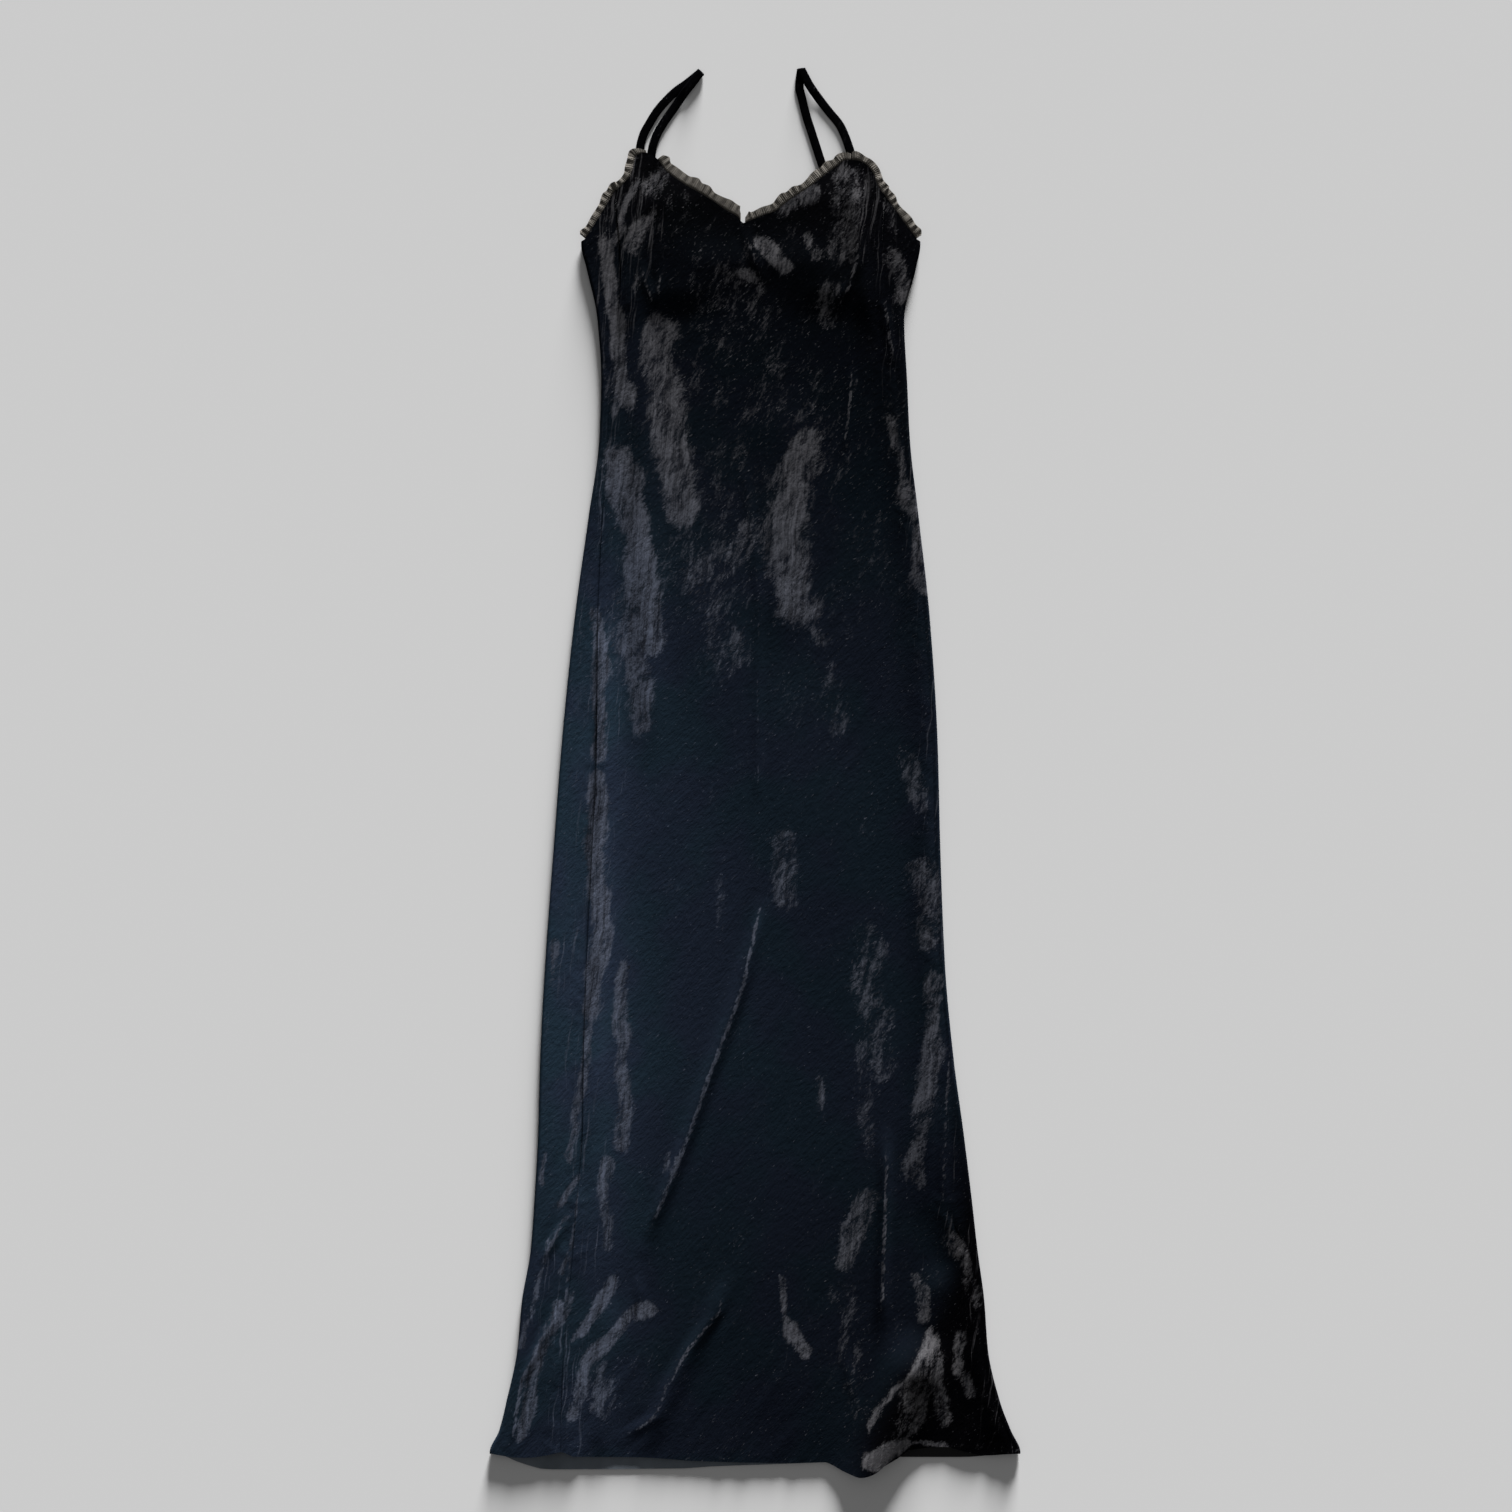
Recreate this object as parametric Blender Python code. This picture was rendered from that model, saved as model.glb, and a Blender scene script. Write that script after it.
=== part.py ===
"""A bias-cut slip dress in crushed velvet, laid flat on its back with its straps folded down.

The front panel lies on the back panel, and the back panel rolls round both sides as far as the
side seams, which lie on the front. A gathered net ruffle runs round the whole top edge.
X runs across the dress, Y from the hem to the straps, and Z up from the surface it lies on.
Sizes are in millimetres, and to_metres turns the finished points into metres.
"""

import math
from collections import namedtuple

import bmesh
import bpy
import numpy as np
from mathutils import Vector

# Driving sizes
VELVET = 1.4
NET = 1.0
SEAM_GAP = 0.3
ROLL_RADIUS = 3.2
STRAP_WIDTH = 9.0
STRAP_THICKNESS = 1.8
RUFFLE_WAVE = 8.0
RUFFLE_LIFT = 3.0
RUFFLE_MITRE = 14.0
HIDDEN_WAVE = 10.0
HIDDEN_LIFT = 1.0
ACROSS_TO_CENTRE = -0.5
HEM_TO_CENTRE = 714.65

FRONT_REST = 2 * VELVET + SEAM_GAP + 0.1
EAR_DROP = 1.8
MOST_COLUMN_GAP = 13.0
HEM_ROWS = 9
BODY_ROWS = 19
BUST_ROWS = 10
HEM_ZONE = 0.13
BUST_ZONE = 0.86

# The dress's outline and its side seams, from the hem up
Section = namedtuple("Section", "above_hem left_edge right_edge left_seam right_seam")
SECTIONS = (
    Section(0, -279, 278, -204, 272),
    Section(23, -269, 268, -204, 262),
    Section(55, -261, 256, -203, 250),
    Section(107, -250, 244, -201, 238),
    Section(160, -245, 240, -196, 234),
    Section(212, -236, 233, -191, 222),
    Section(265, -232, 227, -187, 200),
    Section(338, -228, 218, -181, 200),
    Section(412, -226, 208, -180, 201),
    Section(509, -221, 199, -177, 193),
    Section(632, -212, 194, -171, 188),
    Section(748, -203, 191, -166, 185),
    Section(874, -190, 183, -165, 177),
    Section(983, -175, 171, -160, 165),
    Section(1063, -164, 162, -155, 155),
    Section(1126, -162, 159, -151, 148),
    Section(1189, -166, 156, -144, 139),
    Section(1241, -177, 168, -141, 134),
    Section(1268, -183, 173, -142, 133),
    Section(1325, -183, 173, -147, 135),
)

# In this and the next three edges, each point is across the dress and above the hem.
# The front panel's top edge: left armhole, left cup's peak, the V, right peak, right armhole
NECKLINE = (
    (-147, 1325),
    (-138, 1332),
    (-130, 1342),
    (-126, 1360),
    (-116, 1364),
    (-105, 1359),
    (-94, 1345),
    (-74, 1330),
    (-58, 1321),
    (-45, 1313),
    (-31, 1303),
    (-20, 1297),
    (-14, 1290),
    (-5, 1293),
    (8, 1298),
    (20, 1302),
    (29, 1309),
    (43, 1319),
    (57, 1328),
    (71, 1339),
    (83, 1348),
    (95, 1356),
    (105, 1356),
    (115, 1352),
    (123, 1343),
    (128, 1330),
    (135, 1320),
)

# The back panel's top edge, which the front hides
BACK_NECK = (
    (-183, 1268),
    (-150, 1263),
    (-95, 1259),
    (0, 1238),
    (95, 1259),
    (150, 1263),
    (173, 1268),
)

# The front's hem: level at the left, with one deep ripple at the right
FRONT_HEM = (
    (-204, 1),
    (-190, -4),
    (-120, -5),
    (-60, -9),
    (35, -11),
    (71, -10),
    (94, -20),
    (110, -25),
    (124, -21),
    (136, -12),
    (149, -5),
    (162, 3),
    (199, 6),
    (220, 1),
    (240, -3),
    (272, -1),
)

# The back's hem, which drops below the front's at the left
BACK_HEM = (
    (-279, -1),
    (-247, -12),
    (-221, -18),
    (-79, -17),
    (-48, -15),
    (36, -12),
    (110, -9),
    (152, -5),
    (220, -5),
    (278, -1),
)

# The large folds of the front panel, each a soft ridge that fades out at both ends
Fold = namedtuple("Fold", "from_across from_up to_across to_up half_width height")
FRONT_FOLDS = {
    "left_side_ridge": Fold(-158, 860, -172, 330, 15, 2.6),
    "left_inner_ridge": Fold(-121, 1170, -112, 740, 18, 3.0),
    "right_side_ridge": Fold(186, 690, 176, 280, 18, 3.0),
    "centre_swell": Fold(36, 1100, 24, 860, 26, 1.8),
    "long_slant_crease": Fold(8, 560, -111, 225, 9, 3.0),
    "low_slant_crease": Fold(-33, 175, -112, 12, 9, 3.0),
    "right_upright_crease": Fold(136, 330, 131, 130, 8, 2.4),
    "left_hem_crease": Fold(-150, 150, -165, -5, 12, 2.2),
    "ripple_root": Fold(196, 190, 170, 70, 15, 4.0),
    "ripple_crest": Fold(176, 110, 108, -60, 24, 13.0),
    "left_cup": Fold(-95, 1330, -80, 1200, 42, 4.2),
    "right_cup": Fold(88, 1335, 75, 1200, 42, 4.2),
    "left_strap_pull": Fold(-118, 1352, -136, 1180, 10, 2.4),
    "right_strap_pull": Fold(100, 1345, 118, 1180, 10, 2.4),
    "rise_over_back_trim": Fold(-75, 1250, 75, 1250, 22, 2.0),
}

# Where each strap runs, as seen from above: up its front leg to the fold, then down its back leg.
# Each point is across the dress and above the hem.
STRAPS = {
    "strap_left": {
        "front_leg": (
            (-111, 1343),
            (-109.5, 1360),
            (-108, 1370),
            (-104, 1382),
            (-97, 1394.5),
            (-88, 1407.5),
            (-75, 1426),
            (-65.5, 1438),
            (-58, 1448),
        ),
        "back_leg": (
            (-73, 1436),
            (-83, 1429),
            (-93, 1419.5),
            (-103, 1408),
            (-111.5, 1394.5),
            (-118, 1382),
            (-121, 1369),
            (-122, 1340),
            (-119, 1310),
            (-116, 1262),
        ),
    },
    "strap_right": {
        "front_leg": (
            (103, 1343),
            (101, 1359),
            (97, 1373),
            (89, 1392),
            (78, 1406),
            (67, 1420),
            (57, 1434),
            (48, 1451),
        ),
        "back_leg": (
            (46, 1434),
            (49, 1420),
            (53.5, 1402),
            (58, 1388),
            (62.5, 1374),
            (67, 1360),
            (72, 1345),
            (80, 1310),
            (89, 1262),
        ),
    },
}
STRAP_OVERLAP = 42.0
STRAP_SEGMENTS = 34
FOLD_STEPS = 5

VELVET_BLACK = (0.012, 0.012, 0.016)
NET_GREY = (0.055, 0.05, 0.046)


def clear_scene():
    """Removes the startup objects."""
    for thing in list(bpy.data.objects):
        bpy.data.objects.remove(thing)


def smooth_curve(points):
    """A function through (station, value) pairs, smooth and with no overshoot, level outside them."""
    stations, values = (np.array(side, float) for side in zip(*points))
    steps = np.diff(stations)
    slopes = np.diff(values) / steps
    tangents = np.zeros(len(stations))
    for k in range(1, len(stations) - 1):
        before, after = slopes[k - 1], slopes[k]
        if before * after > 0:
            tangents[k] = 2 * before * after / (before + after)

    def value_at(station):
        station = min(max(station, stations[0]), stations[-1])
        k = min(int(np.searchsorted(stations, station, side="right")) - 1, len(steps) - 1)
        t = (station - stations[k]) / steps[k]
        start = (1 + 2 * t) * (1 - t) ** 2 * values[k] + t * (1 - t) ** 2 * steps[k] * tangents[k]
        end = t * t * (3 - 2 * t) * values[k + 1] - t * t * (1 - t) * steps[k] * tangents[k + 1]
        return float(start + end)

    return value_at


def section_curve(column):
    """The smooth curve of one column of the sections, from the hem up."""
    return smooth_curve([(row.above_hem, getattr(row, column)) for row in SECTIONS])


left_edge = section_curve("left_edge")
right_edge = section_curve("right_edge")
left_seam = section_curve("left_seam")
right_seam = section_curve("right_seam")
neckline = smooth_curve(NECKLINE)
back_neck = smooth_curve(BACK_NECK)
front_hem = smooth_curve(FRONT_HEM)
back_hem = smooth_curve(BACK_HEM)
UNDERARM = SECTIONS[-2].above_hem
SEAM_TOP = SECTIONS[-1].above_hem


def ease(t):
    """0 to 1, starting and ending level."""
    t = min(max(t, 0.0), 1.0)
    return t * t * (3 - 2 * t)


def fold_height(x, y, fold):
    """How far one fold lifts the cloth at a point."""
    along_x, along_y = fold.to_across - fold.from_across, fold.to_up - fold.from_up
    length = math.hypot(along_x, along_y)
    x, y = x - fold.from_across, y - fold.from_up
    along = (x * along_x + y * along_y) / length**2
    off_line = (x * along_y - y * along_x) / length
    fade = ease((along + 0.12) / 0.3) * ease((1.12 - along) / 0.3)
    return fold.height * fade * math.exp(-((off_line / fold.half_width) ** 2))


def side_height(y):
    """The top of the rolled sides, which drop towards the armholes' tops."""
    return 2 * ROLL_RADIUS - EAR_DROP * ease((y - UNDERARM) / (SEAM_TOP - UNDERARM))


def front_height(x, y):
    """The front panel's upper face: high at its side seams, resting on the back between them."""
    rise = side_height(y) - FRONT_REST
    near_left = math.exp(-(((x - left_seam(y)) / 20) ** 2))
    near_right = math.exp(-(((right_seam(y) - x) / 20) ** 2))
    slack = 0.5 + 0.5 * math.sin(x / 31 + math.sin(y / 120)) * math.sin(y / 83 + x / 140)
    folds = sum(fold_height(x, y, fold) for fold in FRONT_FOLDS.values())
    return FRONT_REST + rise * max(near_left, near_right) + slack + folds


def row_fractions():
    """How far up the dress each row of points lies, closer together at the hem and the bust."""
    hem = np.linspace(0, HEM_ZONE, HEM_ROWS)[:-1]
    body = np.linspace(HEM_ZONE, BUST_ZONE, BODY_ROWS)[:-1]
    bust = np.linspace(BUST_ZONE, 1, BUST_ROWS)
    return np.concatenate([hem, body, bust])


def front_fractions():
    """How far across the front each column lies: one at each corner of the neckline, filled in between."""
    across = [row[0] for row in NECKLINE]
    fractions = []
    for start, end in zip(across, across[1:]):
        steps = math.ceil((end - start) / MOST_COLUMN_GAP)
        fractions += [start + (end - start) * k / steps for k in range(steps)]
    fractions.append(across[-1])
    return (np.array(fractions) - across[0]) / (across[-1] - across[0])


ROWS = row_fractions()
FRONT_COLUMNS = front_fractions()


def front_point(across, up, below=0.0):
    """A point of the front panel: across and up are fractions, below is the depth under its face."""
    top = neckline(NECKLINE[0][0] + across * (NECKLINE[-1][0] - NECKLINE[0][0]))
    hem = front_hem(FRONT_HEM[0][0] + across * (FRONT_HEM[-1][0] - FRONT_HEM[0][0]))
    y = hem + up * (top - hem)
    start, end = left_seam(y) + SEAM_GAP / 2, right_seam(y) - SEAM_GAP / 2
    x = start + across * (end - start)
    return Vector((x, y, front_height(x, y) - below))


# The back panel's way round, from the left seam over the left fold, along the floor, to the right seam
LEFT_SEAM, LEFT_TOP, LEFT_FLOOR, RIGHT_FLOOR, RIGHT_TOP, RIGHT_SEAM = range(6)
FLOOR_COLUMNS = 14
ROLL_COLUMNS = 4
WRAP_COLUMNS = 4


def back_stations():
    """Where the back panel's columns lie on its way round."""
    counts = (WRAP_COLUMNS, ROLL_COLUMNS, FLOOR_COLUMNS, ROLL_COLUMNS, WRAP_COLUMNS)
    stations = []
    for stretch, count in enumerate(counts):
        stations += [stretch + k / count for k in range(count)]
    stations.append(float(RIGHT_SEAM))
    return stations


BACK_STATIONS = back_stations()


def back_top(station):
    """The back panel's top edge: up the ear to each side seam, and low across the back."""
    seam_tops = (NECKLINE[0][1], NECKLINE[-1][1])
    if station < LEFT_TOP:
        return seam_tops[0] + (UNDERARM + 4 - seam_tops[0]) * station
    if station > RIGHT_TOP:
        return seam_tops[1] + (UNDERARM + 4 - seam_tops[1]) * (RIGHT_SEAM - station)
    if LEFT_FLOOR <= station <= RIGHT_FLOOR:
        ends = BACK_NECK[0][0], BACK_NECK[-1][0]
        return back_neck(ends[0] + (station - LEFT_FLOOR) * (ends[1] - ends[0]))
    past_top = station - LEFT_TOP if station < LEFT_FLOOR else RIGHT_TOP - station
    return UNDERARM + 4 * (1 - past_top)


def back_bottom(station):
    """The back panel's hem."""
    seam_hems = FRONT_HEM[0][1], FRONT_HEM[-1][1]
    if station < LEFT_TOP:
        return seam_hems[0] - 2 * station - 5 * math.sin(math.pi * station)
    if station > RIGHT_TOP:
        return seam_hems[1]
    if LEFT_FLOOR <= station <= RIGHT_FLOOR:
        ends = BACK_HEM[0][0], BACK_HEM[-1][0]
        return back_hem(ends[0] + (station - LEFT_FLOOR) * (ends[1] - ends[0]))
    return BACK_HEM[0][1]


def back_point(station, up, below=0.0):
    """A point of the back panel: station is its way round, below is the depth under its outer face."""
    bottom = back_bottom(station)
    y = bottom + up * (back_top(station) - bottom)
    radius = ROLL_RADIUS - below
    left_centre, right_centre = left_edge(y) + ROLL_RADIUS, right_edge(y) - ROLL_RADIUS
    if station <= LEFT_TOP:
        start = left_seam(y) - SEAM_GAP / 2
        return Vector((start + (left_centre - start) * station, y, side_height(y) - below))
    if station >= RIGHT_TOP:
        start = right_seam(y) + SEAM_GAP / 2
        past = RIGHT_SEAM - station
        return Vector((start + (right_centre - start) * past, y, side_height(y) - below))
    if LEFT_FLOOR <= station <= RIGHT_FLOOR:
        return Vector((left_centre + (right_centre - left_centre) * (station - LEFT_FLOOR), y, below))
    on_left = station < LEFT_FLOOR
    turn = math.pi * (station - LEFT_TOP if on_left else RIGHT_TOP - station)
    out = radius * math.sin(turn)
    x = left_centre - out if on_left else right_centre + out
    middle = side_height(y) / 2
    rise = (middle - below) * math.cos(turn)
    return Vector((x, y, middle + rise))


def to_metres(point):
    """From millimetres above the hem to metres from the middle of the dress."""
    return Vector((point.x - ACROSS_TO_CENTRE, point.y - HEM_TO_CENTRE, point.z)) / 1000


def cloth_wall(name, columns, rows, place, material):
    """A closed wall of cloth: a grid, extruded to a second skin and put in place point by point."""
    bm = bmesh.new()
    bmesh.ops.create_grid(bm, x_segments=columns, y_segments=rows, size=0.5)
    doubled = bmesh.ops.extrude_face_region(bm, geom=bm.faces[:], use_keep_orig=True)
    for piece in doubled["geom"]:
        if isinstance(piece, bmesh.types.BMVert):
            piece.co.z = 1.0
    for corner in bm.verts:
        column = round((corner.co.x + 0.5) * columns)
        row = round((corner.co.y + 0.5) * rows)
        corner.co = to_metres(place(column, row, round(corner.co.z)))
    bmesh.ops.recalc_face_normals(bm, faces=bm.faces[:])
    mesh = bpy.data.meshes.new(name)
    bm.to_mesh(mesh)
    bm.free()
    mesh.shade_smooth()
    mesh.set_sharp_from_angle(angle=math.radians(40))
    piece = bpy.data.objects.new(name, mesh)
    piece.data.materials.append(material)
    bpy.context.scene.collection.objects.link(piece)
    return piece


def front_panel(material):
    """The front, cut in one piece on the bias, with both cups and the V between them."""

    def place(column, row, skin):
        return front_point(FRONT_COLUMNS[column], ROWS[row], VELVET * skin)

    return cloth_wall("front_panel", len(FRONT_COLUMNS) - 1, len(ROWS) - 1, place, material)


def back_panel(material):
    """The back, flat where it rests, rolled over both sides to the side seams."""

    def place(column, row, skin):
        return back_point(BACK_STATIONS[column], ROWS[row], VELVET * skin)

    return cloth_wall("back_panel", len(BACK_STATIONS) - 1, len(ROWS) - 1, place, material)


def smooth_line(points, count):
    """A polyline of count steps at even distances along a smooth curve through the points."""
    points = [Vector(point) for point in points]
    distance = [0.0]
    for start, end in zip(points, points[1:]):
        distance.append(distance[-1] + (end - start).length)
    curves = [smooth_curve(list(zip(distance, values))) for values in zip(*points)]
    return [Vector([curve(distance[-1] * k / count) for curve in curves]) for k in range(count + 1)]


def strap_centres(front_leg, back_leg):
    """A strap's middle line and its width direction: up the front leg, over the fold, down the back leg."""
    low, high = STRAP_THICKNESS / 2, STRAP_THICKNESS * 1.5 + SEAM_GAP
    up_leg = smooth_line([(x, y, 0) for x, y in front_leg], STRAP_SEGMENTS)
    down_leg = smooth_line([(x, y, 0) for x, y in (front_leg[-1], *back_leg)], STRAP_SEGMENTS)
    tip = up_leg[-1]
    for point in up_leg:
        point.z = low + (high - low) * ease(2 - (point - tip).length / STRAP_OVERLAP * 2)
    for point in down_leg:
        point.z = low

    def sideways(line, k, sign):
        ahead, behind = line[min(k + 1, len(line) - 1)], line[max(k - 1, 0)]
        run = Vector((ahead.x - behind.x, ahead.y - behind.y, 0)).normalized()
        return Vector((-run.y, run.x, 0)) * sign

    up_sides = [sideways(up_leg, k, 1) for k in range(len(up_leg))]
    down_sides = [sideways(down_leg, k, -1) for k in range(len(down_leg))]
    fold_side = (up_sides[-1] + down_sides[0]).normalized()
    outward = Vector((fold_side.y, -fold_side.x, 0))
    radius = (high - low) / 2
    turn = [math.pi * k / FOLD_STEPS for k in range(FOLD_STEPS + 1)]
    middle = Vector((tip.x, tip.y, low + radius))
    fold = [middle + outward * radius * math.sin(a) + Vector((0, 0, radius * math.cos(a))) for a in turn]
    centres = up_leg[:-1] + fold + down_leg[1:]
    sides = up_sides[:-1] + [fold_side] * len(fold) + down_sides[1:]
    return centres, sides


def strap(name, front_leg, back_leg, material):
    """A flat velvet strap, from inside the cup's peak to the back's top edge."""
    centres, sides = strap_centres(front_leg, back_leg)

    def place(column, row, skin):
        ahead, behind = centres[min(column + 1, len(centres) - 1)], centres[max(column - 1, 0)]
        face = (ahead - behind).normalized().cross(sides[column])
        across = (row - 0.5) * STRAP_WIDTH
        return centres[column] + sides[column] * across + face * (0.5 - skin) * STRAP_THICKNESS

    return cloth_wall(name, len(centres) - 1, 1, place, material)


def edge_line(points, wave):
    """An edge's own corners with enough points between them to carry its gathers."""
    line = [points[0]]
    for start, end in zip(points, points[1:]):
        steps = max(1, round((end - start).length / (wave / 4)))
        line += [start.lerp(end, k / steps) for k in range(1, steps + 1)]
    return line


def ruffle(name, edge, width, ends, material, ways=(None, None), wave=RUFFLE_WAVE, lift=RUFFLE_LIFT):
    """A gathered net strip that stands out from the left of an edge. Its waves grow towards its free side.

    ends is the share of its width at its two ends, and ways the directions in which they point.
    """
    line = edge_line(edge, wave)
    distance = [0.0]
    for start, end in zip(line, line[1:]):
        distance.append(distance[-1] + (end - start).length)
    total = distance[-1]

    def place(column, row, skin):
        ahead, behind = line[min(column + 2, len(line) - 1)], line[max(column - 2, 0)]
        outward = Vector((behind.y - ahead.y, ahead.x - behind.x, 0)).normalized()
        s = distance[column]
        for way, from_end in zip(ways, (s, total - s)):
            if way:
                outward = outward.lerp(Vector((*way, 0)), 1 - ease(from_end / RUFFLE_MITRE)).normalized()
        taper = min(1.0, ends[0] + s / wave / 2, ends[1] + (total - s) / wave / 2)
        scallop = 1 + 0.14 * math.sin(s * 0.31 + 1.3 * math.sin(s * 0.113))
        out = row / 2
        gather = 0.5 + 0.5 * math.sin(2 * math.pi * s / wave + 0.8 * math.sin(s * 0.09))
        z = lift * gather * out * taper + NET * (0.5 - skin)
        return line[column] + outward * (SEAM_GAP + width * taper * scallop * out) + Vector((0, 0, z))

    return cloth_wall(name, len(line) - 1, 2, place, material)


def front_rim(start_across, end_across):
    """The front panel's top edge between two places, at half its thickness."""
    first = NECKLINE[0][0]
    span = NECKLINE[-1][0] - first
    inside = [f for f in FRONT_COLUMNS if start_across < first + f * span < end_across]
    fractions = [(start_across - first) / span, *inside, (end_across - first) / span]
    return [rim_chord(f) for f in fractions]


def rim_chord(fraction):
    """A point of the front's top edge, on the straight run between its two nearest columns."""
    k = min(max(int(np.searchsorted(FRONT_COLUMNS, fraction)), 1), len(FRONT_COLUMNS) - 1)
    start, end = FRONT_COLUMNS[k - 1], FRONT_COLUMNS[k]
    share = (fraction - start) / (end - start)
    return front_point(start, 1, VELVET / 2).lerp(front_point(end, 1, VELVET / 2), share)


def back_rim(start_station, end_station):
    """The back panel's top edge between two of its stations, at half its thickness."""
    inside = [s for s in BACK_STATIONS if start_station < s < end_station]
    return [back_point(s, 1, VELVET / 2) for s in (start_station, *inside, end_station)]


def back_station(across):
    """The back panel's station that lies on the floor at a place across the top edge."""
    ends = BACK_NECK[0][0] + ROLL_RADIUS, BACK_NECK[-1][0] - ROLL_RADIUS
    return LEFT_FLOOR + (across - ends[0]) / (ends[1] - ends[0])


def ruffles(material):
    """The gathered trim: the V's two sides, both armholes, and the back's top edge between the straps."""
    left_arm = list(reversed(back_rim(LEFT_SEAM, LEFT_TOP - 0.03))) + front_rim(-146.5, -115)
    right_arm = front_rim(101, 134.5) + list(reversed(back_rim(RIGHT_TOP + 0.03, RIGHT_SEAM)))
    up = (0, 1)
    ruffle("ruffle_neck_left", front_rim(-103, -16.5), 10.5, (0.6, 0.7), material, ways=(None, up))
    ruffle("ruffle_neck_right", front_rim(-12, 100), 9.0, (0.6, 0.9), material, ways=(up, None))
    ruffle("ruffle_arm_left", left_arm, 7.5, (0.8, 0.3), material)
    ruffle("ruffle_arm_right", right_arm, 8.0, (0.9, 0.8), material)
    legs = [STRAPS[name]["back_leg"][-1][0] for name in ("strap_left", "strap_right")]
    clear = STRAP_WIDTH / 2 + 1.5
    gaps = [LEFT_FLOOR + 0.02]
    gaps += [back_station(leg + side) for leg in legs for side in (-clear, clear)]
    gaps.append(RIGHT_FLOOR - 0.02)
    for place, start, end in zip(("left", "centre", "right"), gaps[::2], gaps[1::2]):
        name, edge = f"ruffle_back_{place}", back_rim(start, end)
        ruffle(name, edge, 10.0, (0.35, 0.35), material, wave=HIDDEN_WAVE, lift=HIDDEN_LIFT)


def cloth_material(name, colour, roughness):
    """A plain cloth finish."""
    material = bpy.data.materials.new(name)
    material.use_nodes = True
    shader = material.node_tree.nodes["Principled BSDF"]
    shader.inputs["Base Color"].default_value = (*colour, 1)
    shader.inputs["Roughness"].default_value = roughness
    shader.inputs["Metallic"].default_value = 0.0
    shader.inputs["Sheen Weight"].default_value = 0.6
    return material


def main():
    """Lays out the whole dress."""
    clear_scene()
    velvet = cloth_material("crushed_velvet", VELVET_BLACK, 0.6)
    net = cloth_material("net_trim", NET_GREY, 0.8)
    front_panel(velvet)
    back_panel(velvet)
    for name, legs in STRAPS.items():
        strap(name, legs["front_leg"], legs["back_leg"], velvet)
    ruffles(net)


main()
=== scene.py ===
# %% [markdown]
# # A crushed-velvet slip dress, laid flat
#
# The dress lies on its back on a pale floor and is seen from straight above. This script dresses
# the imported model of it: the two velvet panels, the folded straps and the gathered net trim. Each
# is a thin sheet whose points are worked out from a few sections in millimetres, so the new cloth
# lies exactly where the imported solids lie.

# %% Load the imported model
import math

import bmesh
import bpy
import numpy as np
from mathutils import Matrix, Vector, noise


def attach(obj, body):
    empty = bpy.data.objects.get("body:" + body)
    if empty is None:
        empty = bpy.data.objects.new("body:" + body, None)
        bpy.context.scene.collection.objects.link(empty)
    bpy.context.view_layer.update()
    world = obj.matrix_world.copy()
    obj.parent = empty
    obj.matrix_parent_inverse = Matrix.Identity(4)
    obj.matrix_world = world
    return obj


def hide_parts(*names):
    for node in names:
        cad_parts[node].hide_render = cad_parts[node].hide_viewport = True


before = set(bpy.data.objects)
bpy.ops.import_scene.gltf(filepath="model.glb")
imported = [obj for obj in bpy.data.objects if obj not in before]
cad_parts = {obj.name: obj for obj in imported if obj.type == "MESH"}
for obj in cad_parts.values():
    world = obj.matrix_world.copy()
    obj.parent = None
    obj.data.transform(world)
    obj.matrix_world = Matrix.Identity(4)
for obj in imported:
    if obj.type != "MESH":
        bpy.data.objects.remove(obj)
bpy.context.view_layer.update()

# %% [markdown]
# ## Sizes
#
# Everything below is in millimetres: X across the dress, Y above the hem line, Z above the floor.
# `in_metres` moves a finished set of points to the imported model's frame, whose origin is the middle
# of the dress.

# %% Name the driving sizes
VELVET = 1.2
NET = 0.4
SEWN_GAP = 0.06
PACKED_VELVET = 1.4
SEAM_GAP = 0.3
ROLL_RADIUS = 3.2
FRONT_REST = 2 * PACKED_VELVET + SEAM_GAP + 0.1
EAR_DROP = 1.8
ACROSS_TO_CENTRE = -0.5
HEM_TO_CENTRE = 714.65


def in_metres(x, y, z):
    """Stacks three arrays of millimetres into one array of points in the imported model's frame."""
    return np.stack([x - ACROSS_TO_CENTRE, y - HEM_TO_CENTRE, z], axis=-1) / 1000


print("the front rests", FRONT_REST, "mm above the floor")

# %% [markdown]
# ## Smooth curves through a few stations
#
# A pattern cutter draws a side seam through a handful of measured widths. `smooth_curve` does the
# same: it joins the stations with cubic pieces that never swing past them, and it takes a whole
# array of stations at once, which keeps a sheet of 40,000 points quick.

# %% Define the curve and the easing
def smooth_curve(points):
    """A function through (station, value) pairs, level outside them."""
    stations, values = (np.array(side, float) for side in zip(*points))
    steps = np.diff(stations)
    slopes = np.diff(values) / steps
    tangents = np.zeros(len(stations))
    for k in range(1, len(stations) - 1):
        if slopes[k - 1] * slopes[k] > 0:
            tangents[k] = 2 * slopes[k - 1] * slopes[k] / (slopes[k - 1] + slopes[k])

    def value_at(station):
        station = np.clip(station, stations[0], stations[-1])
        k = np.clip(np.searchsorted(stations, station, side="right") - 1, 0, len(steps) - 1)
        t = (station - stations[k]) / steps[k]
        start = (1 + 2 * t) * (1 - t) ** 2 * values[k] + t * (1 - t) ** 2 * steps[k] * tangents[k]
        end = t * t * (3 - 2 * t) * values[k + 1] - t * t * (1 - t) * steps[k] * tangents[k + 1]
        return start + end

    return value_at


def ease(t):
    """0 to 1, level at both ends."""
    t = np.clip(t, 0, 1)
    return t * t * (3 - 2 * t)


print("ease at a quarter:", ease(0.25))

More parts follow.
